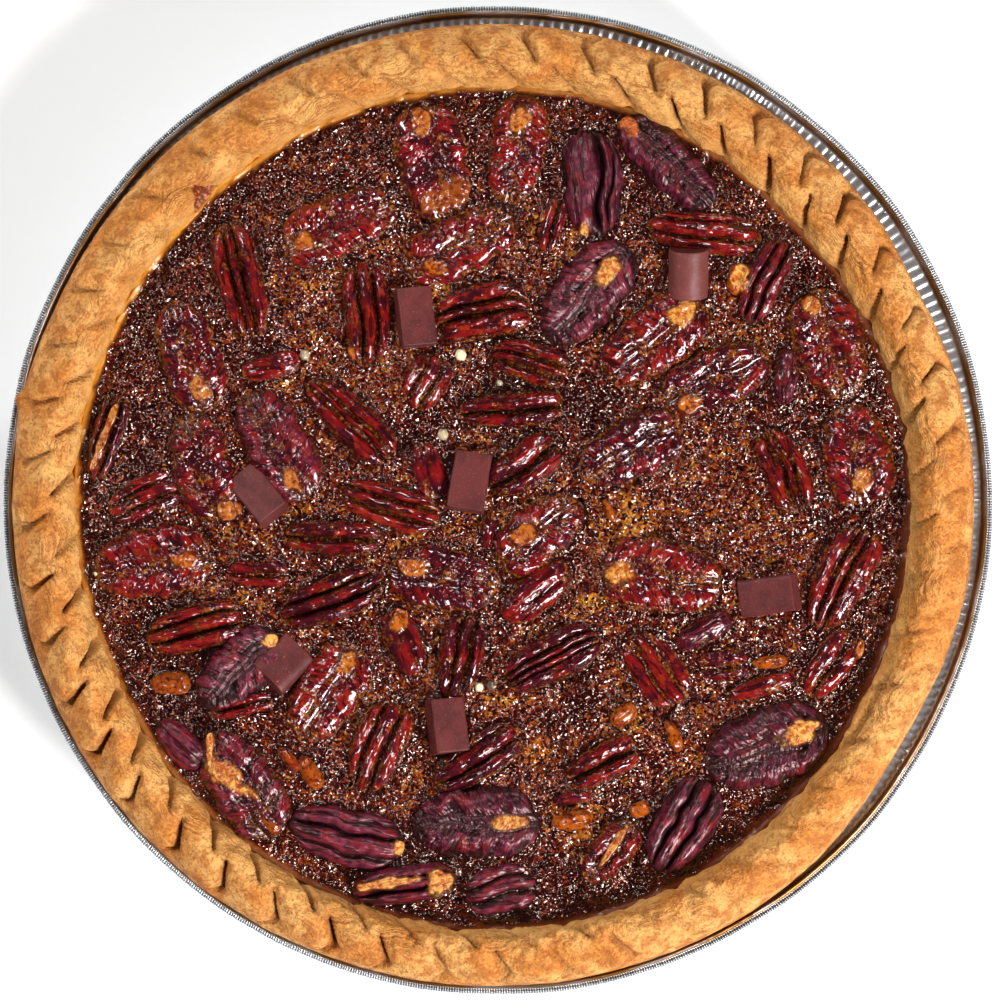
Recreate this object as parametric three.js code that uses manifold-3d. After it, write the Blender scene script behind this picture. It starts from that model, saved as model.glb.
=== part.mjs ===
// A pecan pie with pieces of chocolate, in the foil tin it was baked in.
//
// Millimetres, +Z up. The origin is the middle of the tin's underside.
// A heading is in degrees, turning from +X towards +Y.

import * as THREE from "three";
import { mergeVertices } from "three/addons/utils/BufferGeometryUtils.js";
import Module from "manifold-3d";

const wasm = await Module();
wasm.setup();

// ---------------------------------------------------------------- driving dimensions

const GAP = 0.35; // clear space between pieces that touch

const TIN = {
  baseRadius: 91, // flat underside
  baseCorner: 2, // radius left between the base and the wall
  wallTopRadius: 111,
  flangeHeight: 29.4,
  flangeOuterRadius: 119.2,
  rimRadius: 122.5, // outside of the rolled edge
  rollHeight: 2.9,
  rollDrop: 0.6, // how far the roll hangs below the flange
  rollCorner: 0.9,
  bend: 1, // where the wall turns into the flange
  wall: 0.4,
  segments: 48,
};

const CRUST = {
  middle: [-1.1, -1.25], // the rim of dough sits a little off the tin's middle
  edgeRadius: 120.1, // outer edge, over the tin's flange
  innerRadius: 103, // where the filling meets it
  edgeHeight: 32.9,
  topHeight: 42, // crest of the crimps
  thickness: 4.2, // of the shell below the rim
  fit: TIN.wall + GAP + 0.1, // from the outside of the tin to the dough baked against it
  crimps: 48,
  firstCrease: 2.5, // degrees
  creaseDepth: 4.6, // of the creases between the outer lobes
  notchDepth: 4.2, // of the notches between the inner lobes
};

// The rim of dough, from its outer edge over the crest down to the filling: [radius, height].
const RIM = {
  lip: [CRUST.edgeRadius - 1, CRUST.edgeHeight + 1.5],
  outerSide: [117.6, CRUST.edgeHeight + 3.6],
  outerShoulder: [114.2, CRUST.topHeight - 1.4],
  crest: [110.4, CRUST.topHeight],
  innerShoulder: [106.8, CRUST.topHeight - 1.6],
};

// How far one crease or notch draws the dough in, as a share of its depth or in millimetres.
const DRAW = { edge: 0.8, sideShare: 0.5, crest: 1.8, crestDip: 1.2, notch: 1.4, wallFoot: 0.6 };

const FILLING = {
  edgeHeight: 33,
  dome: 1.1, // how much the middle stands above the edge
  ripple: 0.3,
  columns: 24,
  ringRadii: [86, 58, 29],
};

const PECAN = {
  sunk: 3.4, // how far a half reaches below the filling's surface
  backRise: 4.3, // how far one lying on its flat face stands above it
  faceRise: 3.7, // and one lying on its back
  bareRise: 1.1, // added where a half lies on top of the syrup
  drownedRise: 2.2,
};

const CHOCOLATE = { thickness: 5.6, bevel: 0.4, sunk: 1.7, rodSunk: 3.2, rodSides: 20 };

// Halves that are pieces of their own: [middle X, middle Y, length, width, heading].
// The heading points to the blunt end.
const BACKS_UP = [
  [-63.5, 54, 30.5, 13.2, 103],
  [23.2, 78, 26.5, 15.8, 94],
  [-4, 46.5, 25.5, 15, 10],
  [-33, 46, 26.5, 12.8, 93],
  [-36.5, 19.5, 28.5, 12.4, -43],
  [8, 33.7, 21.5, 11.2, -13],
  [3.5, 22.8, 28, 9.8, 5],
  [50.8, 66, 29, 12, -6],
  [66.2, 54, 22.5, 10.4, 66],
  [70.3, 7.2, 22.5, 12.6, -66],
  [-41, -9.4, 25.5, 10.2, -1],
  [-41, -24, 28, 12.2, 22],
  [-74.5, -32, 25.8, 12.6, 12],
  [-26.8, -1.2, 27, 11.6, -16],
  [6, 8.8, 20.8, 12.4, 33],
  [9.6, -23, 21.8, 11, 38],
  [13.4, -39.6, 27, 13.2, 27],
  [-9.2, -38.8, 22, 12.2, 77],
  [85.5, -19.4, 29, 15, 62],
  [-29, -61, 24.6, 14.6, 67],
  [-37.5, -82.8, 29.4, 14.6, -13],
  [-5.2, -64, 26, 12.2, 32],
  [25.8, -65, 21, 10.8, 28],
  [45.6, -80.5, 25.8, 15.2, 60],
];

const FACES_UP = [
  [-76.5, 35.5, 29, 16.4, -73],
  [-39.6, 67.6, 32, 16.6, 202],
  [-16.2, 83.4, 30.6, 19.2, 102],
  [4.6, 86.6, 28.6, 15.2, 80],
  [42, 83, 32, 12.8, 136],
  [-9.4, 63.2, 31.4, 16.2, 205],
  [22.2, 51, 30.6, 17, 50],
  [-54.5, 13.6, 31.2, 17.4, -60],
  [-72.8, 8.4, 29, 16.4, -73],
  [38.8, 40.2, 32, 17.4, 38],
  [81.8, 38.4, 28.8, 18.2, 110],
  [53.8, 29.4, 30, 15.8, 205],
  [33, 12.4, 29, 16, 25],
  [88.8, 10.8, 27.2, 18.4, -80],
  [-85.4, -15.6, 30, 18.8, 8],
  [-63.8, -42, 25.6, 15.2, 42],
  [-42.4, -47.6, 29, 17.4, 54],
  [-13.2, -19.4, 28.4, 17, 173],
  [10.2, -8.6, 26, 15.6, 220],
  [40.2, -19, 32, 19.4, 172],
  [-63, -70.6, 30.8, 17.6, -55],
  [-5.4, -80, 32, 18, 3],
  [27.8, -87.2, 19.6, 10.6, 48],
  [66.4, -60.8, 32, 19.4, 20],
];

const ON_EDGE = [
  [-96.4, 15.4, 23.2, 8.8, 72],
  [-23.3, -95.2, 26.6, 10.2, 8],
];

// Halves that lie bare on top of the syrup, by their place in the lists above.
const BARE = { back: [1, 20, 23], face: [4, 6, 15, 20, 21, 23], edge: [1] };

// Small, broken or nearly drowned pieces, which are one with the filling.
const DROWNED = [
  [13.4, 68, 16, 6.6, 75],
  [-56.5, 33.2, 16, 8.2, 12],
  [-17.6, 29.2, 15.2, 12.6, 63],
  [-87.4, 0.5, 20, 12, 22],
  [-59.4, -18.3, 16.2, 8.8, 0],
  [-23.3, -35.4, 18, 10.2, 114],
  [-16.6, 7.4, 15.6, 10.2, -72],
  [-2.2, -8.4, 8.4, 4.4, 80],
  [38.8, -41.6, 22, 14.6, -50],
  [71, 30.2, 14.8, 7.2, 85],
  [51, -32.7, 16.2, 7.8, 30],
  [55.4, -40.8, 13.8, 9.6, 5],
  [67.4, -40, 9.8, 4, 5],
  [65.4, -46.2, 19, 6.2, 17],
  [82.6, -40.6, 20.4, 11.6, 55],
  [-81, -45.6, 10.4, 6.8, 0],
  [-78.2, -60.2, 16, 9.2, -42],
  [-46.2, -67.4, 9.8, 5.4, -60],
  [0.6, -96.8, 18.6, 13.6, 10],
  [18.2, -74, 10.4, 4, 8],
  [43.2, -58.6, 8.8, 4.4, -67],
  [-63.4, -51.2, 17.5, 6.2, 12],
];

// Pieces of chocolate: [middle X, middle Y, length, width, heading, lean, roll].
// Lean lifts the end that the heading points to, roll lifts the side on its left.
const CHOCOLATES = [
  [-20.5, 45.1, 14.6, 8.9, 97, -8, -14],
  [47.1, 56.3, 12.2, 9.9, 90, 15.4, 0],
  [-59.2, 1.2, 13.9, 8.6, -51.5, 21, 0],
  [-7, 4.4, 14.4, 9.2, 80.5, -9, 3],
  [67.1, -23.6, 14.2, 9.2, 8, 21, 0],
  [-53.1, -40.7, 11.6, 10.1, 45, -15, 6],
  [-12.6, -55.9, 13.4, 8.7, 97, -5, -20],
];
const ROUND_CHOCOLATE = 1; // place in the list of the piece that is a round rod

const COLOURS = {
  foil: 0xc9ccd1,
  crust: 0xd9a866,
  filling: 0x5a2a12,
  pecan: 0x64201c,
  chocolate: 0x5b352f,
};

// ---------------------------------------------------------------- small helpers

const radians = THREE.MathUtils.degToRad;

/** A soft bump of height 1 round an angle, in degrees, that fades over a width. */
function bump(angle, centre, width) {
  const away = THREE.MathUtils.euclideanModulo(angle - centre + 180, 360) - 180;
  return Math.exp(-((away / width) ** 2));
}

/** One ring of points round a middle: shape(angle in degrees, index) gives [radius, height]. */
function ring(count, shape, middle = [0, 0], offset = 0) {
  return Array.from({ length: count }, (_, i) => {
    const angle = (360 * i) / count + offset;
    const [radius, height] = shape(angle, i);
    const turn = radians(angle);
    return [middle[0] + radius * Math.cos(turn), middle[1] + radius * Math.sin(turn), height];
  });
}

/** The faces between two rings whose counts are equal, or one a multiple of the other. */
function band(faces, start, startCount, end, endCount) {
  const coarse = Math.min(startCount, endCount);
  const ratio = Math.max(startCount, endCount) / coarse;
  const half = Math.floor(ratio / 2);
  for (let i = 0; i < coarse; i += 1) {
    const j = (i + 1) % coarse;
    for (let k = 0; k < ratio; k += 1) {
      const near = k < half ? i : j;
      const fine = i * ratio + k;
      const next = (fine + 1) % (coarse * ratio);
      if (startCount <= endCount) faces.push(start + near, end + next, end + fine);
      else faces.push(start + fine, start + next, end + near);
    }
    if (startCount <= endCount) faces.push(start + i, start + j, end + i * ratio + half);
    else faces.push(start + i * ratio + half, end + j, end + i);
  }
}

/** A closed solid through a row of rings, each end shut by a fan onto its own tip. */
function solidOfRings(firstTip, rings, lastTip) {
  const points = [firstTip, ...rings.flat(), lastTip];
  const faces = [];
  let start = 1;
  rings[0].forEach((_, i) => faces.push(0, 1 + ((i + 1) % rings[0].length), 1 + i));
  for (let r = 0; r + 1 < rings.length; r += 1) {
    const next = start + rings[r].length;
    band(faces, start, rings[r].length, next, rings[r + 1].length);
    start = next;
  }
  const last = rings[rings.length - 1].length;
  for (let i = 0; i < last; i += 1) faces.push(start + i, start + ((i + 1) % last), points.length - 1);
  return geometry(points.flat(), faces);
}

function geometry(positions, faces) {
  const shape = new THREE.BufferGeometry();
  shape.setAttribute("position", new THREE.Float32BufferAttribute(positions, 3));
  shape.setIndex(faces);
  shape.computeVertexNormals();
  return shape;
}

function toManifold(shape) {
  const bare = shape.clone();
  bare.deleteAttribute("normal");
  bare.deleteAttribute("uv");
  const merged = mergeVertices(bare, 1e-4);
  const mesh = new wasm.Mesh({
    numProp: 3,
    vertProperties: new Float32Array(merged.attributes.position.array),
    triVerts: new Uint32Array(merged.index.array),
  });
  return new wasm.Manifold(mesh);
}

function fromManifold(solid) {
  const mesh = solid.getMesh();
  return geometry(Array.from(mesh.vertProperties), Array.from(mesh.triVerts));
}

/** The largest of a solid's separate bodies: a loose scrap left by a cut is dropped. */
function largestBody(solid) {
  return solid.decompose().reduce((best, body) => (body.volume() > best.volume() ? body : best));
}

// ---------------------------------------------------------------- foil tin

/** A pressed foil dish: flat base, sloping wall, flange and rolled edge, turned about +Z. */
function makeTin() {
  const { baseRadius, baseCorner, wallTopRadius, flangeHeight, flangeOuterRadius } = TIN;
  const { rimRadius, rollHeight, rollDrop, rollCorner, bend, wall, segments } = TIN;
  const rollMiddle = (flangeOuterRadius + rimRadius) / 2;
  const rollFoot = flangeHeight - rollDrop;
  const rollTop = rollFoot + rollHeight;
  const profile = [
    [baseRadius, 0],
    [baseRadius + baseCorner, baseCorner],
    [wallTopRadius, flangeHeight - bend],
    [wallTopRadius + bend, flangeHeight],
    [flangeOuterRadius + wall, flangeHeight],
    [rollMiddle, rollFoot],
    [rimRadius - rollCorner, rollFoot],
    [rimRadius, rollFoot + rollCorner],
    [rimRadius, rollTop - rollCorner],
    [rimRadius - rollCorner, rollTop],
    [rollMiddle - wall, rollTop],
    [flangeOuterRadius, flangeHeight + wall],
    [wallTopRadius + bend - wall, flangeHeight + wall],
    [wallTopRadius - wall, flangeHeight - bend],
    [baseRadius + baseCorner - wall, baseCorner + wall / 2],
    [baseRadius - wall, wall],
  ];
  const rings = profile.map((point) => ring(segments, () => point));
  return solidOfRings([0, 0, 0], rings, [0, 0, wall]);
}

// ---------------------------------------------------------------- crust

/** How deep the crimps are at an angle: crisp on two sides of the rim, worn between them. */
function crispness(angle) {
  return 0.72 + 0.28 * Math.cos(radians(2 * (angle - 50)));
}

/** Outer edge of the dough, which draws in at two places and bulges at one. */
function edgeRadius(angle) {
  return (
    CRUST.edgeRadius - 1.3 * bump(angle, 27, 9) - 2.1 * bump(angle, 330, 13) + 0.7 * bump(angle, 167, 5)
  );
}

/** Inner edge of the dough, where the filling meets it. */
function innerRadius(angle) {
  return (
    CRUST.innerRadius + 1.7 * bump(angle, 275, 32) - 1.4 * bump(angle, 43, 16) - 1.1 * bump(angle, 206, 13)
  );
}

/**
 * Pastry shell with a crimped rim. Three points a crimp carry the rim: one in the crease and
 * two on the lobe. The rings inside the crest are turned by half a crimp, so that their
 * notches fall between the creases.
 */
function makeCrust() {
  const { middle, edgeHeight, thickness, fit, crimps, firstCrease, creaseDepth, notchDepth } = CRUST;
  const { baseRadius, baseCorner, wallTopRadius, flangeHeight, flangeOuterRadius } = TIN;
  const fine = 3 * crimps;
  const halfStep = 180 / fine;
  const creaseAt = (angle, i) => (i % 3 === 0 ? crispness(angle) : 0);
  const notchAt = (angle, i) => (i % 3 === 1 ? crispness(angle) : 0);
  const edgeAt = (angle, i) => edgeRadius(angle) - DRAW.edge * creaseAt(angle, i);
  const inTin = (point) => ring(crimps, () => point, [0, 0], firstCrease);
  const outside = (shape) => ring(fine, shape, middle, firstCrease);
  const inside = (shape) => ring(fine, shape, middle, firstCrease + halfStep);
  const foot = [baseRadius - fit, fit];
  const corner = [baseRadius + baseCorner - fit - 0.3, baseCorner + 0.6];
  const wallTop = [wallTopRadius - fit - 0.2, flangeHeight - 0.6];
  const onBend = [wallTopRadius + 0.5, flangeHeight + fit + 0.3];
  const onFlange = [flangeOuterRadius - 2.6, flangeHeight + fit + 0.4];
  const rings = [
    inTin(foot),
    inTin(corner),
    inTin(wallTop),
    inTin(onBend),
    ring(fine, () => onFlange, [0, 0], firstCrease),
    outside((angle, i) => [edgeAt(angle, i), edgeHeight]),
    outside((angle, i) => [edgeAt(angle, i) + RIM.lip[0] - CRUST.edgeRadius, RIM.lip[1]]),
    outside((angle, i) => {
      const [radius, height] = RIM.outerSide;
      return [radius, height - DRAW.sideShare * creaseDepth * creaseAt(angle, i)];
    }),
    outside((angle, i) => {
      const [radius, height] = RIM.outerShoulder;
      return [radius, height - creaseDepth * creaseAt(angle, i)];
    }),
    outside((angle, i) => {
      const [radius, height] = RIM.crest;
      const crease = creaseAt(angle, i);
      return [radius - DRAW.crest * crease, height - DRAW.crestDip * crease];
    }),
    inside((angle, i) => {
      const [radius, height] = RIM.innerShoulder;
      const notch = notchAt(angle, i);
      return [radius + DRAW.notch * notch, height - notchDepth * notch];
    }),
    inside((angle, i) => {
      const radius = innerRadius(angle) + 0.5 + DRAW.wallFoot * notchAt(angle, i);
      return [radius, FILLING.edgeHeight + 1.2];
    }),
    inside((angle) => [innerRadius(angle), FILLING.edgeHeight - 2]),
    inTin([baseRadius - thickness, thickness + fit]),
  ];
  return solidOfRings([0, 0, fit], rings, [0, 0, thickness + fit]);
}

// ---------------------------------------------------------------- filling

/** Height of the filling's surface: a low dome with slow ripples. */
function surface(x, y) {
  const reach = Math.min(1, Math.hypot(x, y) / CRUST.innerRadius);
  const ripple = Math.sin(x / 9 + 0.6) * Math.cos(y / 11) + 0.5 * Math.sin((x + y) / 6);
  return FILLING.edgeHeight + FILLING.dome * (1 - reach ** 2) + FILLING.ripple * ripple * (1 - reach ** 6);
}

/** The set filling: it fills the shell to its surface. */
function makeFillingBody() {
  const { columns, ringRadii, edgeHeight } = FILLING;
  const { middle, thickness, fit, crimps, firstCrease } = CRUST;
  const fine = 3 * crimps;
  const halfStep = 180 / fine;
  const floor = thickness + fit + GAP;
  const onTop = (radius) =>
    ring(columns, () => [radius, 0], [0, 0], firstCrease).map(([x, y]) => [x, y, surface(x, y)]);
  const rings = [
    ring(crimps, () => [TIN.baseRadius - thickness - GAP, floor], [0, 0], firstCrease),
    ring(fine, (angle) => [innerRadius(angle) - GAP, edgeHeight], middle, firstCrease + halfStep),
    ...ringRadii.map(onTop),
  ];
  return solidOfRings([0, 0, floor], rings, [0, 0, surface(0, 0)]);
}

// ---------------------------------------------------------------- pecan halves

// Cross-sections, from one foot over the top to the other: [across the width, up the height].
const SECTIONS = {
  // Three ridges with two furrows between them.
  back: [
    [-0.4, 0], [-0.5, 0.4], [-0.35, 0.84], [-0.19, 0.62], [0, 1],
    [0.19, 0.62], [0.35, 0.84], [0.5, 0.4], [0.4, 0],
  ],
  // Two lobes with a groove between them, on a rounded back.
  face: [[-0.33, 0], [-0.5, 0.6], [-0.28, 1], [0, 0.55], [0.28, 1], [0.5, 0.6], [0.33, 0]],
  // One lobe and the broad side of the other.
  edge: [[-0.36, 0], [-0.5, 0.5], [-0.2, 1], [0.06, 0.7], [0.3, 0.85], [0.5, 0.4], [0.36, 0]],
  // The two ridges of a piece that barely shows.
  drowned: [[-0.5, 0.2], [-0.26, 1], [0, 0.66], [0.26, 1], [0.5, 0.2]],
};
const STATIONS = [-0.8, -0.28, 0.3, 0.82];
const FEW_STATIONS = [-0.62, 0.1, 0.72];

/** Outline of a half: an egg, width(t) = width * (1 - |t|^2.3)^0.5 * (1 + 0.1 t), blunt at t = 1. */
function widthAt(t, width) {
  return width * (1 - Math.abs(t) ** 2.3) ** 0.5 * (1 + 0.1 * t);
}

/** One half nut, in sections along its length. */
function makePecan([x, y, length, width, heading], kind, rise, stations = STATIONS) {
  const foot = surface(x, y) - PECAN.sunk;
  const height = PECAN.sunk + rise;
  const tipHeight = foot + 0.42 * height;
  const half = length / 2;
  const slices = stations.map((t) => {
    const wide = widthAt(t, width);
    const high = height * (1 - 0.45 * Math.abs(t) ** 3);
    return SECTIONS[kind].map(([across, up]) => [t * half, -across * wide, foot + up * high]);
  });
  const turn = radians(heading);
  const place = ([u, v, z]) => [
    x + u * Math.cos(turn) - v * Math.sin(turn),
    y + u * Math.sin(turn) + v * Math.cos(turn),
    z,
  ];
  const rings = slices.map((slice) => slice.map(place));
  return solidOfRings(place([-half, 0, tipHeight]), rings, place([half, 0, tipHeight]));
}

/** The room that a half takes up: its outline with a clear gap, straight up from its foot. */
function makePocket([x, y, length, width, heading]) {
  const half = length / 2 + GAP;
  const side = STATIONS.map((t) => [t * half, widthAt(t, width) / 2 + GAP]);
  const back = side.map(([u, v]) => [u, -v]).reverse();
  const corners = [[half, 0], ...side.reverse(), [-half, 0], ...back.reverse()];
  const outline = new THREE.Shape(corners.map(([u, v]) => new THREE.Vector2(u, v)));
  const pocket = new THREE.ExtrudeGeometry(outline, { depth: 3 * PECAN.sunk, bevelEnabled: false });
  pocket.rotateZ(radians(heading));
  pocket.translate(x, y, surface(x, y) - PECAN.sunk - GAP);
  return pocket;
}

// ---------------------------------------------------------------- chocolate

/** A block with softened edges, its length along X and its middle at the origin. */
function makeBlock(length, width, grow) {
  const { thickness, bevel } = CHOCOLATE;
  const u = length / 2 - bevel;
  const v = width / 2 - bevel;
  const outline = new THREE.Shape([
    new THREE.Vector2(-u, -v),
    new THREE.Vector2(u, -v * 0.97),
    new THREE.Vector2(u * 0.98, v),
    new THREE.Vector2(-u * 0.98, v * 0.97),
  ]);
  const block = new THREE.ExtrudeGeometry(outline, {
    depth: thickness - 2 * bevel + 2 * grow,
    bevelThickness: bevel,
    bevelSize: bevel + grow,
    bevelSegments: 1,
    steps: 1,
  });
  block.translate(0, 0, bevel - thickness / 2 - grow);
  return block;
}

/** A round rod, its length along X and its middle at the origin. */
function makeRod(length, width, grow) {
  const radius = width / 2 + grow;
  const rod = new THREE.CylinderGeometry(radius, radius, length + 2 * grow, CHOCOLATE.rodSides);
  rod.rotateZ(radians(-90));
  return rod;
}

/** One piece of chocolate, leaning as it landed. */
function makeChocolate([x, y, length, width, heading, lean, roll], i, grow = 0) {
  const isRod = i === ROUND_CHOCOLATE;
  const piece = isRod ? makeRod(length, width, grow) : makeBlock(length, width, grow);
  const height = isRod ? width / 2 - CHOCOLATE.rodSunk : CHOCOLATE.thickness / 2 - CHOCOLATE.sunk;
  piece.rotateX(radians(-roll));
  piece.rotateY(radians(-lean));
  piece.rotateZ(radians(heading));
  piece.translate(x, y, surface(x, y) + height);
  return piece;
}

// ---------------------------------------------------------------- the whole pie

function finish(colour, roughness, metalness = 0) {
  return new THREE.MeshStandardMaterial({ color: colour, roughness, metalness, flatShading: true });
}

function makePie() {
  const pie = new THREE.Group();
  const add = (name, shape, material) => {
    const mesh = new THREE.Mesh(shape, material);
    mesh.name = name;
    pie.add(mesh);
  };
  const foil = finish(COLOURS.foil, 0.3, 1);
  const dough = finish(COLOURS.crust, 0.8);
  const syrup = finish(COLOURS.filling, 0.25);
  const nut = finish(COLOURS.pecan, 0.4);
  const cocoa = finish(COLOURS.chocolate, 0.5);

  const chocolatePockets = CHOCOLATES.map((row, i) => toManifold(makeChocolate(row, i, GAP)));
  const halves = [
    ...BACKS_UP.map((row, i) => ({ row, kind: "back", i, rise: PECAN.backRise })),
    ...FACES_UP.map((row, i) => ({ row, kind: "face", i, rise: PECAN.faceRise })),
    ...ON_EDGE.map((row, i) => ({ row, kind: "edge", i, rise: PECAN.faceRise })),
  ];

  // Each half is cut clear of the chocolate and of the halves before it.
  const taken = [...chocolatePockets];
  let filling = toManifold(makeFillingBody());
  for (const row of DROWNED) {
    filling = filling.add(toManifold(makePecan(row, "drowned", PECAN.drownedRise, FEW_STATIONS)));
  }
  for (const { row, kind, i, rise } of halves) {
    const height = rise + (BARE[kind].includes(i) ? PECAN.bareRise : 0);
    let half = toManifold(makePecan(row, kind, height));
    for (const other of taken) {
      if (half.intersect(other).volume() > 0.001) {
        half = largestBody(half.subtract(other));
      }
    }
    const pocket = toManifold(makePocket(row));
    taken.push(pocket);
    filling = filling.subtract(pocket);
    add(`pecan_${kind}_${String(i + 1).padStart(2, "0")}`, fromManifold(half), nut);
  }
  for (const pocket of chocolatePockets) filling = filling.subtract(pocket);

  add("tin", makeTin(), foil);
  add("crust", makeCrust(), dough);
  add("filling", fromManifold(filling), syrup);
  CHOCOLATES.forEach((row, i) => add(`chocolate_${i + 1}`, makeChocolate(row, i), cocoa));
  return pie;
}

export default makePie();
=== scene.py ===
"""A pecan pie with pieces of chocolate, in the foil tin it was baked in.

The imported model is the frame: each piece made here stands where its node stands. Lengths are in
millimetres until a mesh is made, +Z is up and the origin is the middle of the tin's underside.
A heading is in degrees, turning from +X towards +Y.
"""

import logging
import math
from dataclasses import dataclass, field
from enum import Enum

import bpy
import numpy as np
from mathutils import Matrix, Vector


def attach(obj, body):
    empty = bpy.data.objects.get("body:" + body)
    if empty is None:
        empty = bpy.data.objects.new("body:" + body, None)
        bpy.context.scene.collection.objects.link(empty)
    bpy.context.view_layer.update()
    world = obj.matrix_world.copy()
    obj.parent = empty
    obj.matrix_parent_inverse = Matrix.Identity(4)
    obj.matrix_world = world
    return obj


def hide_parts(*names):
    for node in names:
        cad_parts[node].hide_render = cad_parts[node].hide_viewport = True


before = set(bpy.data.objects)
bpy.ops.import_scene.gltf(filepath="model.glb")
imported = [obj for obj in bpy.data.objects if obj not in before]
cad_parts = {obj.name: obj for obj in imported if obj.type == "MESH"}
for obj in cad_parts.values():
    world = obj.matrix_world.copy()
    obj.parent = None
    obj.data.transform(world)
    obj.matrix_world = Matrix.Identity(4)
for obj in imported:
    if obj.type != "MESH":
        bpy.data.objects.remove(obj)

Array = np.ndarray
Material = bpy.types.Material
Piece = bpy.types.Object

MM = 0.001  # metres in a millimetre
BODY = "root"

log = logging.getLogger("pecan_pie")


class Slot(Enum):
    """Names of the material slots."""

    FOIL = "foil"
    CRUST = "crust"
    FILLING = "filling"
    PECAN = "pecan"
    CHOCOLATE = "chocolate"


class Lie(Enum):
    """How a pecan half lies, as its node's name says it."""

    BACK = "back"  # on its flat face, ridges up
    FACE = "face"  # on its rounded back, groove up
    EDGE = "edge"  # on its side
    BIT = "bit"  # a small or nearly drowned piece


# ------------------------------------------------------------------------ numbers on arrays


def smooth(value: Array | float, low: float, high: float) -> Array:
    """Rises from 0 at low to 1 at high along 3t^2 - 2t^3, or falls where high is below low."""
    t = np.clip((np.asarray(value, float) - low) / (high - low), 0, 1)
    return t * t * (3 - 2 * t)


def bell(value: Array, centre: float, width: float | Array) -> Array:
    """A soft bump of height 1 round a centre: exp(-((value - centre) / width)^2)."""
    return np.exp(-(((value - centre) / width) ** 2))


def bump(angle: Array, centre: float, width: float) -> Array:
    """A bell round an angle, all in degrees."""
    return bell((angle - centre + 180) % 360 - 180, 0, width)


def blots(x: Array, y: Array, places: tuple[tuple[float, ...], ...]) -> Array:
    """Bells round places, each given as x, y and radius, added up."""
    return sum(bell(np.hypot(x - u, y - v), 0, radius) for u, v, radius in places)


def stacked(*parts: Array | float) -> Array:
    """Numbers as the last axis of one array, once they are all brought to one shape."""
    return np.stack(np.broadcast_arrays(*parts), axis=-1)


def polar(radius: Array | float, turn: Array, height: Array | float) -> Array:
    """Places at a distance from +Z, an angle round it in radians and a height."""
    return stacked(radius * np.cos(turn), radius * np.sin(turn), height)


def turns(count: int) -> Array:
    """Even angles once round, in radians, without the last."""
    return np.linspace(0, 2 * np.pi, count, endpoint=False)


def lattice(i: Array, j: Array, k: Array, seed: int) -> Array:
    """A repeatable random number for each whole-number place.

    Args:
        i, j, k: the place along x, y and z.
        seed: which set of numbers.

    Returns:
        Numbers from -1 to 1.
    """
    mixed = (i.astype(np.int64) * 374761393 + j.astype(np.int64) * 668265263) & 0xFFFFFFFF
    mixed = (mixed + k.astype(np.int64) * 2147483629 + seed * 1442695041) & 0xFFFFFFFF
    mixed = ((mixed ^ (mixed >> 13)) * 1274126177) & 0xFFFFFFFF
    mixed = mixed ^ (mixed >> 16)
    return mixed / 0x7FFFFFFF - 1


def lumps(points: Array, size: float, seed: int, octaves: int = 1) -> Array:
    """Smooth random relief: lattice numbers blended by smoothstep along each axis.

    Args:
        points: places, with x, y and z last.
        size: the distance between lattice places.
        seed: which relief.
        octaves: how many copies are added up, each half as wide and half as high as the last.

    Returns:
        About -1 to 1 for each point.
    """
    total = np.zeros(points.shape[:-1])
    for octave in range(octaves):
        scaled = points * (2**octave / size)
        low = np.floor(scaled).astype(np.int64)
        part = scaled - low
        part = part * part * (3 - 2 * part)
        for corner in range(8):
            step = np.array([corner & 1, corner >> 1 & 1, corner >> 2 & 1])
            weight = np.prod(np.where(step == 1, part, 1 - part), axis=-1)
            total += weight * lattice(*np.moveaxis(low + step, -1, 0), seed + octave) / 2**octave
    return total


def smooth_path(corners: list[tuple[float, float]], count: int) -> Array:
    """A Catmull-Rom curve.

    Args:
        corners: the places that it passes through.
        count: how many places come back.

    Returns:
        Places at even steps along it.
    """
    ends = np.array([corners[0], *corners, corners[-1]], float)
    t = np.linspace(0, 1, 24, endpoint=False)[:, None]
    spans = []
    for a, b, c, d in zip(ends, ends[1:], ends[2:], ends[3:]):
        spans.append(b + 0.5 * t * ((c - a) + t * (2 * a - 5 * b + 4 * c - d + t * (3 * (b - c) + d - a))))
    line = np.concatenate([*spans, ends[-1:]])
    walked = np.concatenate([[0], np.cumsum(np.hypot(*np.diff(line, axis=0).T))])
    even = np.linspace(0, walked[-1], count)
    return np.stack([np.interp(even, walked, axis) for axis in line.T], axis=1)


# ------------------------------------------------------------------------ meshes


def linked(name: str, data: bpy.types.ID) -> Piece:
    """Puts a mesh, a light or a camera into the scene."""
    made = bpy.data.objects.new(name, data)
    bpy.context.scene.collection.objects.link(made)
    return made


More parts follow.
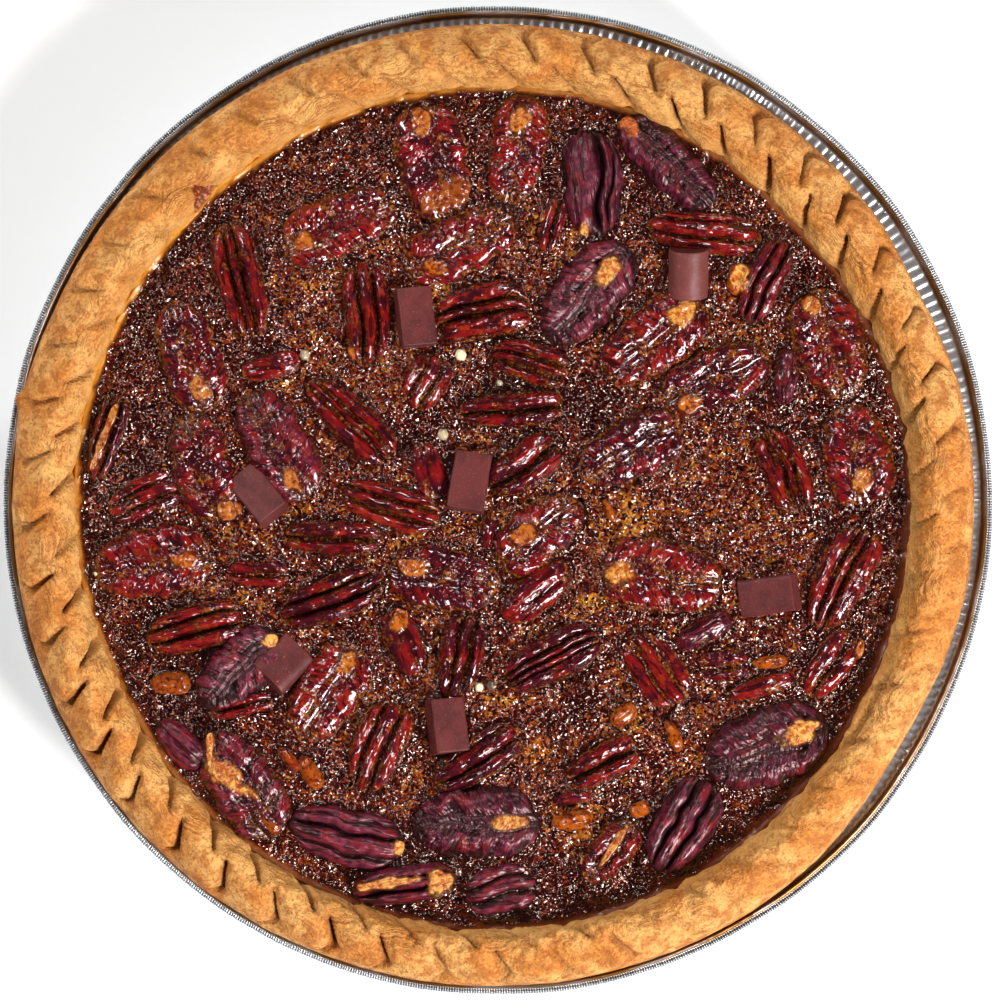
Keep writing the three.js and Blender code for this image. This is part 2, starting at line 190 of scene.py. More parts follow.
@dataclass
class Sheet:
    """A closed mesh in the making, with numbers on its points that the finishes read."""

    points: Array
    quads: Array
    triangles: Array
    fields: dict[str, Array] = field(default_factory=dict)

    @classmethod
    def rings(cls, grid: Array, first: Array, last: Array, **fields: Array) -> "Sheet":
        """A tube of rings, each end shut by a fan onto a tip.

        Args:
            grid: rings by places round a ring by x, y, z.
            first: the tip before the first ring.
            last: the tip after the last ring.
            **fields: one number for each place of the grid, or less that broadcasts to it; a tip
                takes its ring's mean.

        Returns:
            The closed sheet. A ring that runs anticlockwise seen from the last tip faces outwards.
        """
        count, around = grid.shape[:2]
        points = np.concatenate([[first], grid.reshape(-1, 3), [last]])
        here = np.arange(count * around).reshape(count, around) + 1
        following = np.roll(here, -1, axis=1)
        quads = stacked(here[:-1], following[:-1], following[1:], here[1:]).reshape(-1, 4)
        fans = [stacked(0, following[0], here[0]), stacked(len(points) - 1, here[-1], following[-1])]
        numbers = {}
        for name, value in fields.items():
            value = np.broadcast_to(value, (count, around))
            numbers[name] = np.concatenate([[value[0].mean()], value.ravel(), [value[-1].mean()]])
        return cls(points, quads, np.concatenate(fans), numbers)

    @classmethod
    def joined(cls, parts: list["Sheet"]) -> "Sheet":
        """Several sheets with the same fields as one."""
        starts = np.cumsum([0, *[len(part.points) for part in parts[:-1]]])
        return cls(
            np.concatenate([part.points for part in parts]),
            np.concatenate([part.quads + start for part, start in zip(parts, starts)]),
            np.concatenate([part.triangles + start for part, start in zip(parts, starts)]),
            {name: np.concatenate([part.fields[name] for part in parts]) for name in parts[0].fields},
        )

    def show(self, name: str, material: Material, slot: Slot, *nodes: str) -> Piece:
        """Makes the sheet a piece of the pie, in metres, that rides on the one body.

        Args:
            name: the piece's name.
            material: its finish.
            slot: not used.
            *nodes: the nodes that it stands for.

        Returns:
            The piece, at the origin.
        """
        mesh = bpy.data.meshes.new(name)
        corners = np.concatenate([self.quads.ravel(), self.triangles.ravel()]).astype(np.int32)
        sizes = np.repeat([4, 3], [len(self.quads), len(self.triangles)])
        mesh.vertices.add(len(self.points))
        mesh.vertices.foreach_set("co", (self.points * MM).astype(np.float32).ravel())
        mesh.loops.add(len(corners))
        mesh.loops.foreach_set("vertex_index", corners)
        mesh.polygons.add(len(sizes))
        mesh.polygons.foreach_set("loop_start", (np.cumsum(sizes) - sizes).astype(np.int32))
        mesh.polygons.foreach_set("use_smooth", np.ones(len(sizes), bool))
        mesh.update(calc_edges=True)
        for label, values in self.fields.items():
            layer = mesh.attributes.new(label, "FLOAT", "POINT")
            layer.data.foreach_set("value", np.asarray(values, np.float32))
        mesh.materials.append(material)
        made = linked(name, mesh)
        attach(made, BODY)
        if nodes:
            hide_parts(*nodes)
        return made


# ------------------------------------------------------------------------ shader tools


def colour(code: str) -> tuple[float, float, float, float]:
    """A six-digit screen colour as the linear numbers that a shader takes."""
    parts = [int(code[i : i + 2], 16) / 255 for i in (1, 3, 5)]
    linear = [c / 12.92 if c <= 0.04045 else ((c + 0.055) / 1.055) ** 2.4 for c in parts]
    return (*linear, 1.0)


class Signal:
    """One output of a material's nodes, which takes part in plain arithmetic."""

    def __init__(self, shader: "Shader", socket: bpy.types.NodeSocket) -> None:
        """Keeps the socket and the shader that it belongs to."""
        self.shader = shader
        self.socket = socket

    def __add__(self, other: "Signal | float") -> "Signal":
        """Sum."""
        return self.shader.math("ADD", self, other)

    __radd__ = __add__

    def __sub__(self, other: "Signal | float") -> "Signal":
        """Difference."""
        return self.shader.math("SUBTRACT", self, other)

    def __rsub__(self, other: "Signal | float") -> "Signal":
        """Difference from a number."""
        return self.shader.math("SUBTRACT", other, self)

    def __mul__(self, other: "Signal | float") -> "Signal":
        """Product."""
        return self.shader.math("MULTIPLY", self, other)

    __rmul__ = __mul__

    def rise(self, low: float, high: float) -> "Signal":
        """0 at low, 1 at high, and a smooth step between."""
        inputs = {"Value": self, "From Min": low, "From Max": high}
        return self.shader.made("ShaderNodeMapRange", inputs, "Result", interpolation_type="SMOOTHSTEP")


class Shader:
    """A material's nodes, built round one Principled BSDF."""

    def __init__(self, name: str) -> None:
        """Starts an empty material of that name."""
        self.material = bpy.data.materials.new(name)
        self.material.use_nodes = True
        self.tree = self.material.node_tree
        self.tree.nodes.clear()
        self.place = self.made("ShaderNodeTexCoord", out="Object")

    def node(self, kind: str, settings: dict | None = None, inputs: dict | None = None) -> bpy.types.Node:
        """Adds any node.

        Args:
            kind: the node's type.
            settings: its properties, set first; "stops" are a ramp's (place, colour) pairs.
            inputs: a value or a Signal for each socket, by its name or number.

        Returns:
            The new node.
        """
        made = self.tree.nodes.new(kind)
        for name, value in (settings or {}).items():
            if name == "stops":
                for _ in value[2:]:
                    made.color_ramp.elements.new(0.5)
                for element, (at, code) in zip(made.color_ramp.elements, value):
                    element.position = at
                    element.color = colour(code)
            else:
                setattr(made, name, value)
        for name, value in (inputs or {}).items():
            if isinstance(value, Signal):
                self.tree.links.new(value.socket, made.inputs[name])
            else:
                made.inputs[name].default_value = value
        return made

    def made(self, kind: str, inputs: dict | None = None, out: int | str = 0, **settings: object) -> Signal:
        """Adds a node in the same way and takes one of its outputs."""
        return Signal(self, self.node(kind, settings, inputs).outputs[out])

    def math(self, operation: str, first: "Signal | float", second: "Signal | float") -> Signal:
        """A Math node on two values."""
        return self.made("ShaderNodeMath", {0: first, 1: second}, operation=operation)

    def field(self, name: str) -> Signal:
        """A number that the mesh carries on its points."""
        return self.made("ShaderNodeAttribute", out="Fac", attribute_name=name)

    def lengthwise(self) -> Signal:
        """Coordinates that the mesh carries, which follow the length of the piece."""
        return self.made("ShaderNodeCombineXYZ", {0: self.field("way_along"), 1: self.field("way_across")})

    def noise(self, size: float, detail: float = 2, twist: float = 0, place: Signal | None = None,
              out: int | str = 0) -> Signal:
        """Cloudy noise from about 0.25 to 0.75; size is that of its largest features, in millimetres."""
        inputs = {"Vector": place or self.place, "Scale": 1 / (size * MM), "Detail": detail}
        return self.made("ShaderNodeTexNoise", {**inputs, "Distortion": twist}, out)

    def spin(self) -> Signal:
        """The heading of each place round +Z, in radians."""
        split = self.node("ShaderNodeSeparateXYZ", None, {0: self.place})
        return self.math("ARCTAN2", Signal(self, split.outputs[1]), Signal(self, split.outputs[0]))

    def layers(self, height: Signal, size: float) -> Signal:
        """Uneven layers of about one thickness: noise along one number. Both are in millimetres."""
        inputs = {"W": height, "Scale": 1 / size, "Detail": 2}
        return self.made("ShaderNodeTexNoise", inputs, noise_dimensions="1D")

    def strayed(self, size: float, reach: float) -> Signal:
        """The object's coordinates, pushed up to reach by noise of a size, both in millimetres."""
        inputs = {0: self.noise(size, 0, out="Color"), 1: (2 * reach * MM,) * 3, 2: self.place}
        return self.made("ShaderNodeVectorMath", inputs, operation="MULTIPLY_ADD")

    def cells(self, size: float, place: Signal | None = None) -> tuple[Signal, Signal]:
        """Cells of about one size, in millimetres.

        Args:
            size: the distance between their middles.
            place: coordinates other than the object's own.

        Returns:
            The distance from a middle, in cells, and a random number for each cell.
        """
        inputs = {"Vector": place or self.place, "Scale": 1 / (size * MM)}
        made = self.node("ShaderNodeTexVoronoi", None, inputs)
        split = self.made("ShaderNodeSeparateColor", {0: Signal(self, made.outputs["Color"])})
        return Signal(self, made.outputs["Distance"]), split

    def mix(self, share: "Signal | float", first: "Signal | str", second: "Signal | str") -> Signal:
        """A colour that goes from first to second as share goes from 0 to 1."""
        ends = [colour(c) if isinstance(c, str) else c for c in (first, second)]
        return self.made("ShaderNodeMix", {0: share, 6: ends[0], 7: ends[1]}, 2, data_type="RGBA")

    def painted(self, base: "Signal | str", *coats: tuple["Signal | float", "Signal | str"]) -> Signal:
        """Lays coats over a base colour: for each, how much of it shows and its colour."""
        for share, coat in coats:
            base = self.mix(share, base, coat)
        return base

    def ramp(self, value: Signal, *stops: tuple[float, str]) -> Signal:
        """The colours of the stops, in the order of their places, picked by a value."""
        return self.made("ShaderNodeValToRGB", {0: value}, stops=stops)

    def raised(self, height: Signal, rise: float, under: Signal | None = None) -> Signal:
        """Surface detail: height 1 stands rise millimetres high, on top of the detail under it."""
        inputs = {"Strength": 1.0, "Distance": rise * MM, "Height": height}
        if under is not None:
            inputs["Normal"] = under
        return self.made("ShaderNodeBump", inputs)

    def surface(self, **inputs: "Signal | float | tuple") -> Material:
        """Ends the material in one Principled BSDF.

        Args:
            **inputs: its sockets, with _ for each space in a name.

        Returns:
            The finished material.
        """
        named = {name.replace("_", " "): value for name, value in inputs.items()}
        bsdf = self.node("ShaderNodeBsdfPrincipled", None, named)
        self.node("ShaderNodeOutputMaterial", None, {"Surface": Signal(self, bsdf.outputs[0])})
        return self.material


# ------------------------------------------------------------------------ finishes


@dataclass(frozen=True)
class BrightFoil:
    """Pressed aluminium, slightly crumpled, with a painted reflection of the crust, a brown band, at the
    rolled edge.
    """

    metal: str = "#dcdee2"
    shade: str = "#b9bcc2"
    stain: str = "#7d5426"
    # dark: painted shade between the fine ribs of the lip
    dark: str = "#34363a"
    lip_teeth: float = 1200

    def material(self) -> Material:
        """The finish as a material."""
        s = Shader("bright_foil")
        cloud = s.noise(14, 3)
        crumple = s.noise(5, 2, 0.4)
        scratch = s.noise(0.8, 2)
        lip = s.field("lip")
        teeth = s.math("SINE", s.spin() * self.lip_teeth, 0.0)
        base = s.painted(
            self.metal,
            (cloud.rise(0.35, 0.7), self.shade),
            # painted reflection of the crust: a brown band along the rolled bead
            (s.field("stain") * (0.7 + 0.3 * cloud.rise(0.3, 0.6)), self.stain),
            # painted shade between the lip's fine ribs: dark stripes along the teeth
            (lip * teeth.rise(-0.2, 0.6) * 0.8, self.dark),
        )
        normal = s.raised(scratch, 0.02, s.raised(crumple, 0.35, s.raised(teeth * lip, 0.15)))
        return s.surface(Base_Color=base, Metallic=0.9, Roughness=0.26 + 0.16 * cloud, Normal=normal)


@dataclass(frozen=True)
class BakedDough:
    """Short pastry, golden with redder speckles, pale where it flakes, with painted shade in its creases."""

    golden: str = "#c27a33"
    pale: str = "#d69e58"
    brown: str = "#9f5a20"
    speckle: str = "#8b4319"
    crevice: str = "#54260d"
    caramel: str = "#6f3008"
    honey: str = "#cf8622"
    drip: str = "#661a0e"
    drip_glint: str = "#b9683c"

    def material(self) -> Material:
        """The finish as a material."""
        s = Shader("baked_dough")
        patches = s.noise(11, 1)
        mottle = s.noise(3.2, 4)
        grain = s.noise(0.8, 2)
        fibre = s.noise(1.6, 2, 1.8)
        crest = s.field("flake")
        strata = s.layers(s.field("layer") + 1.6 * mottle + 0.7 * grain, 0.55)
        sticky = s.field("caramel")
        dripped = s.field("drip")
        base = s.painted(
            self.golden,
            (patches.rise(0.36, 0.62), self.pale),
            (mottle.rise(0.46, 0.62) * 0.6, self.brown),
            (fibre.rise(0.52, 0.66) * 0.45, self.speckle),
            (grain.rise(0.55, 0.66) * 0.4, self.speckle),
            (grain.rise(0.45, 0.34) * 0.45, self.pale),
            (s.field("wall") * 0.45, self.pale),
            (s.field("toast") * mottle.rise(0.35, 0.6) * 0.7, self.brown),
            (crest * strata.rise(0.48, 0.62) * 0.5, self.pale),
            (crest * strata.rise(0.48, 0.36) * 0.5, self.speckle),
            # painted shade in the creases, notches and the crack
            (s.field("crevice") * 0.8, self.crevice),
            (dripped * 0.92, s.mix(grain.rise(0.5, 0.62), self.drip, self.drip_glint)),
            # the caramel line: painted lit orange towards the light, painted dark as in shade elsewhere
            (sticky, s.mix(s.field("honey"), self.caramel, self.honey)),
        )
        rough = 0.75 - s.math("MAXIMUM", sticky, dripped) * 0.45
        detail = s.raised(grain * 0.3 + fibre * 0.4 + mottle * 0.6 + crest * strata * 0.6, 1.0)
        return s.surface(Base_Color=base, Roughness=rough, Specular_IOR_Level=0.25, Normal=detail)


@dataclass(frozen=True)
class SetSyrup:
    """Egg and sugar filling, baked to a crackled brown skin full of tiny glassy bubbles."""

    black: str = "#220202"
    dark: str = "#430c06"
    brown: str = "#661c07"
    amber: str = "#8c480c"
    orange: str = "#bb8428"
    gold: str = "#b0600e"
    caramel: str = "#5e2206"
    honey: str = "#cf8622"
    cream: str = "#e8d9b0"
    warm_gloss: tuple[float, ...] = (1.0, 0.77, 0.66, 1.0)

    def material(self) -> Material:
        """The finish as a material."""
        s = Shader("set_syrup")
        cloud = s.noise(15, 1)
        patch = s.noise(3.4, 3)
        wander = s.strayed(1.5, 0.9)
        spacing, chance = s.cells(0.95, wander)
        grain = s.noise(0.62, 2, 0, wander)
        fleck = s.noise(1.0, 1, 0, wander)
        bead = s.noise(1.6, 1)
        ring = s.field("caramel")
        gold = s.field("gold")
        cream = s.field("cream")
        calm = 1 - 0.8 * ring
        toned = chance * 0.26 + grain * 1.0 + patch * 1.1 + cloud * 0.6 - 1.1
        # darker where burnt, and where shade or a shadow is painted
        toned = toned - s.field("burnt") * 0.4 + gold * 0.25
        base = s.painted(
            s.ramp(toned, (0.1, self.black), (0.28, self.dark), (0.48, self.brown), (0.66, self.amber),
                   (0.88, self.orange)),
            (gold * grain.rise(0.42, 0.58) * 0.7, self.gold),
            # painted shade of the pits and crevices between the granules: black specks
            (fleck.rise(0.51, 0.42) * calm, self.black),
            # the caramel ring: painted lit orange towards the light, painted dark as in shade elsewhere
            (ring, s.mix(gold, self.caramel, self.honey)),
            (cream, self.cream),
        )
        dome = 1 - spacing.rise(0.1, 0.8)
        detail = s.raised((dome * 0.36 + bead * 2.1) * calm * (1 - cream), 0.42)
        return s.surface(Base_Color=base, Roughness=0.1 + 0.3 * ring, Specular_IOR_Level=1.0,
                         Specular_Tint=self.warm_gloss, Normal=detail)


@dataclass(frozen=True)
class NutSkin:
    """Skin of a pecan half: deep red under a glaze of syrup, dusty purple where it lies bare, with painted
    shade in its furrows, in its wrinkles and between the syrup's granules.
    """

    red: str = "#720e10"
    maroon: str = "#3e0814"
    ember: str = "#8c260e"
    deep: str = "#220305"
    plum: str = "#400c1f"
    dust: str = "#6c2436"
    bare_deep: str = "#1c0408"
    tan: str = "#dba04a"
    toasted: str = "#a8500c"
    scorched: str = "#571a06"
    syrup: str = "#3a1406"
    amber: str = "#9a500c"
    warm_gloss: tuple[float, ...] = (1.0, 0.7, 0.7, 1.0)

    def material(self) -> Material:
        """The finish as a material."""
        s = Shader("nut_skin")
        glaze = s.field("glaze")
        deep = s.field("furrow")
        seep = s.field("seep")
        tone = s.field("tone")
        tan = s.field("tan")
        toasted = s.field("toasted")
        cloud = s.noise(6, 1)
        mottle = s.noise(1.8, 3)
        grain = s.noise(0.6, 2)
        spacing, chance = s.cells(0.85, s.strayed(1.4, 0.7))
        wrinkle = s.noise(1.25, 2, 0.6, s.lengthwise())
        crease = wrinkle.rise(0.52, 0.38)
        patchy = s.noise(4.2, 1)
        fibre = s.noise(1.0, 3, 0.8)
        beads = s.noise(1.5, 1)

        cover = (seep * 1.1 + deep * 0.6 + patchy * 2.2 - 1.5 + chance * 0.25).rise(0.1, 0.45)
        skin = s.mix((chance * 0.5 + grain).rise(0.6, 1.05), self.syrup, self.amber)
        # painted shade between the syrup's granules
        skin = s.mix(spacing.rise(0.35, 0.65) * 0.7, skin, self.deep)
        wet = s.painted(
            self.maroon,
            ((cloud + tone * 0.1).rise(0.4, 0.6), self.red),
            ((mottle + tone * 0.05).rise(0.52, 0.68) * 0.8, self.ember),
            # painted shade in the wrinkles and furrows
            (crease * 0.85, self.deep),
            (deep.rise(0.3, 0.85) * 0.9, self.deep),
            (cover * 0.9, skin),
        )
        dry = s.painted(
            self.plum,
            ((mottle + tone * 0.1).rise(0.38, 0.66), self.dust),
            (cloud.rise(0.5, 0.68) * 0.6, self.red),
            # painted shade in the wrinkles and furrows
            (crease * 0.95, self.bare_deep),
            (deep.rise(0.35, 0.8), self.bare_deep),
        )
        pale = s.mix((fibre * 0.6 + mottle * 0.4).rise(0.42, 0.58), self.tan, self.toasted)
        pale = s.mix(fibre.rise(0.6, 0.7) * 0.8, pale, self.scorched)
        roast = s.mix((fibre * 0.5 + mottle * 0.5).rise(0.45, 0.6), self.toasted, self.scorched)
        brim = s.field("brim") * 0.85
        base = s.painted(dry, (glaze, wet), (toasted, roast), (tan, pale), (brim, self.deep))

        dome = 1 - spacing.rise(0.1, 0.7)
        clear = 1 - 0.7 * tan - 0.3 * toasted
        relief = dome * cover * 0.4 * glaze + beads * (0.2 + 0.6 * glaze) + wrinkle * 1.5
        rough = 0.4 - glaze * 0.29 + (1 - clear) * 0.2
        return s.surface(Base_Color=base, Roughness=rough, Specular_IOR_Level=0.6,
                         Specular_Tint=self.warm_gloss, Normal=s.raised(relief, 0.5),
                         Coat_Weight=0.6 * glaze * clear, Coat_Roughness=0.1, Coat_IOR=1.5)


@dataclass(frozen=True)
class PlainChocolate:
    """Matte milk-dark chocolate, a little dusty."""

    face: str = "#602928"
    bloom: str = "#8a524c"
    # shade: a darker tone, also the painted shade on the rod's raised end
    shade: str = "#4c2020"
    chip: str = "#b9785a"

    def material(self) -> Material:
        """The finish as a material."""
        s = Shader("plain_chocolate")
        cloud = s.noise(5, 3)
        grain = s.noise(0.45, 3)
        spacing, chance = s.cells(1.6)
        fleck = chance.rise(0.8, 0.95) * (1 - spacing.rise(0.05, 0.16))
        base = s.painted(
            self.face,
            (cloud.rise(0.35, 0.7), self.shade),
            (s.field("dusty") * 0.3 + grain.rise(0.56, 0.72) * 0.35, self.bloom),
            # painted shade on the rod's raised end face, which faces away from the light
            (s.field("end"), self.shade),
            (fleck * 0.55, self.chip),
        )
        detail = s.raised(grain, 0.05, s.raised(cloud, 0.2))
        return s.surface(Base_Color=base, Roughness=0.4 + 0.16 * grain, Specular_IOR_Level=0.22,
                         Normal=detail)


@dataclass(frozen=True)
class PalePaper:
    """The plain pale surface that the pie stands on."""

    tone: str = "#f4f4f3"
    glow: float = 0.1  # a little light of its own, so that the ground stays white

    def material(self) -> Material:
        """The finish as a material."""
        s = Shader("pale_paper")
        s.material.cycles.emission_sampling = "NONE"  # its glow is too weak to count as a lamp
        tone = colour(self.tone)
        return s.surface(Base_Color=tone, Roughness=0.85, Emission_Color=tone, Emission_Strength=self.glow)


# ------------------------------------------------------------------------ the pie's main shape


@dataclass(frozen=True)
class PieShape:
    """Sizes and outlines that the dough, the filling and the toppings share."""

    middle: tuple[float, float] = (-1.1, -1.25)  # of the rim of dough
    edge_radius: float = 120.1
    inner_radius: float = 103.0
    filling_height: float = 33.0
    dome: float = 1.1
    ripple: float = 0.3
    crimps: int = 48
    first_crease: float = 2.7
    # the real caramel line is painted lit orange on the side that faces the light and dark as in shade
    # elsewhere
    lit_caramel_heading: float = 140  # the middle of the stretch where the caramel is orange
    lit_caramel_span: float = 62

    def crispness(self, angle: Array) -> Array:
        """How deep the crimps are: crisp on two sides of the rim, worn between and at the right."""
        even = 0.72 + 0.28 * np.cos(np.radians(2 * (angle - 50)))
        return even * (1 - 0.55 * bump(angle, 350, 24))

    def edge(self, angle: Array) -> Array:
        """Outer radius of the dough, which draws in at two places and bulges at one."""
        drawn_in = 1.3 * bump(angle, 27, 9) + 2.1 * bump(angle, 330, 13)
        return self.edge_radius - drawn_in + 0.7 * bump(angle, 167, 5)

    def inner(self, angle: Array) -> Array:
        """Radius at which the filling meets the dough."""
        drawn_in = 1.4 * bump(angle, 43, 16) + 1.1 * bump(angle, 206, 13)
        return self.inner_radius - drawn_in + 1.7 * bump(angle, 275, 32)

    def honey(self, angle: Array) -> Array:
        """How orange the line of caramel is painted: lit orange on the side that faces the light, and dark as
        in shade elsewhere.
        """
        return bump(angle, self.lit_caramel_heading, self.lit_caramel_span)

    def surface(self, x: Array | float, y: Array | float) -> Array:
        """Height of the filling: a low dome with slow ripples that die out at its edge."""
        reach = np.minimum(1, np.hypot(x, y) / self.inner_radius)
        wave = np.sin(x / 9 + 0.6) * np.cos(y / 11) + 0.5 * np.sin((x + y) / 6)
        return self.filling_height + self.dome * (1 - reach**2) + self.ripple * wave * (1 - reach**6)

    def crimp(self, angle: Array) -> Array:
        """How many crimps lie between the first crease and an angle; the creases are a little uneven."""
        eased = angle - self.first_crease - 0.8 * np.sin(np.radians(angle - 10))
        uneven = 0.05 * np.sin(np.radians(7 * angle)) + 0.04 * np.sin(np.radians(17 * angle))
        return eased * self.crimps / 360 + uneven


# ------------------------------------------------------------------------ foil dish


@dataclass
class FoilDish:
    """A pressed foil dish: ribbed wall and flange, a smooth rolled bead and a finely ribbed lip."""

    base_radius: float = 91.0
    wall_top: float = 111.0
    flange_height: float = 29.4
    rim_radius: float = 122.5
    wall: float = 0.4
    ribs: int = 300
    columns: int = 1200

    def profile(self) -> Array:
        """Radius, height and depth of ribbing, from the underside out over the rim and back inside."""
        flange = self.flange_height
        foot = flange - 0.6
        outside = [
            (20, 0, 0), (55, 0, 0), (58, 0.5, 0), (61, 0, 0), (82, 0, 0), (85, 0.45, 0), (88, 0, 0),
            (self.base_radius, 0, 0), (92.4, 0.5, 0.1), (93.4, 1.9, 0.25), (96, 6.0, 0.35),
            (99.3, 11.5, 0.38), (102.6, 16.5, 0.38), (105.9, 21.3, 0.38), (109.2, 26.3, 0.34),
            (self.wall_top, flange - 1, 0.28), (112.2, flange - 0.1, 0.2), (115, flange, 0.2),
            (118.6, flange, 0.22), (119.6, foot + 0.1, 0.15), (120.6, foot, 0.05), (121.6, foot, 0.1),
            (122.2, foot + 0.4, 0.16),
        ]
        lip = [
            (self.rim_radius, foot + 1.1, 0.18), (self.rim_radius, foot + 1.9, 0.18),
            (122.1, foot + 2.35, 0.2), (121.6, foot + 2.3, 0.12), (121.3, foot + 2.15, 0.02),
            (121.1, foot + 2.5, 0), (120.7, foot + 2.9, 0), (120.3, foot + 2.8, 0),
            (120.0, foot + 2.2, 0.02), (119.85, foot + 1.3, 0.1), (119.4, flange + 0.55, 0.3),
            (118.6, flange + 0.5, 0.36), (116.0, flange + 0.4, 0.3), (112.5, flange + 0.3, 0.2),
        ]
        inside = [(110.5, flange - 1, 0.2), (92.8, 2.2, 0.1), (90.6, self.wall, 0), (50, self.wall, 0)]
        return np.array([*outside, *lip, *inside])

    def build(self, material: Material) -> Piece:
        """Turns the profile about +Z; the ribs lift it by a triangle wave, uneven in depth and pitch.

        Args:
            material: the foil.

        Returns:
            The dish.
        """
        along, up, depth = self.profile().T[..., None]
        turn = turns(self.columns)
        circle = polar(60, turn, 0)
        drift = 0.35 * lumps(circle, 9, 3)
        wave = 1 - 4 * np.abs((turn * self.ribs / (2 * np.pi) + drift) % 1 - 0.5)
        ribs = depth * wave * (1 + 0.45 * lumps(circle, 3, 5, 2))
        flat = smooth(along, 110, 113)
        radius = along + ribs * (1 - 0.75 * flat)
        height = up + ribs * flat
        dent = lumps(polar(radius, turn, height), 18, 8, 2)
        radius = radius + 0.25 * dent * smooth(up, 1, 8)
        height = np.maximum(height + 0.12 * dent * flat, 0)
        high = up > self.flange_height - 0.5
        sheet = Sheet.rings(
            polar(radius, turn, height), (0, 0, 0), (0, 0, self.wall),
            # where the crust's painted reflection lies, on the bead
            stain=smooth(np.abs(along - 120.6), 1.0, 0.6) * high,
            lip=smooth(along, 121.2, 121.6) * high,
        )
        return sheet.show("foil_dish", material, Slot.FOIL, "tin")


# ------------------------------------------------------------------------ crust


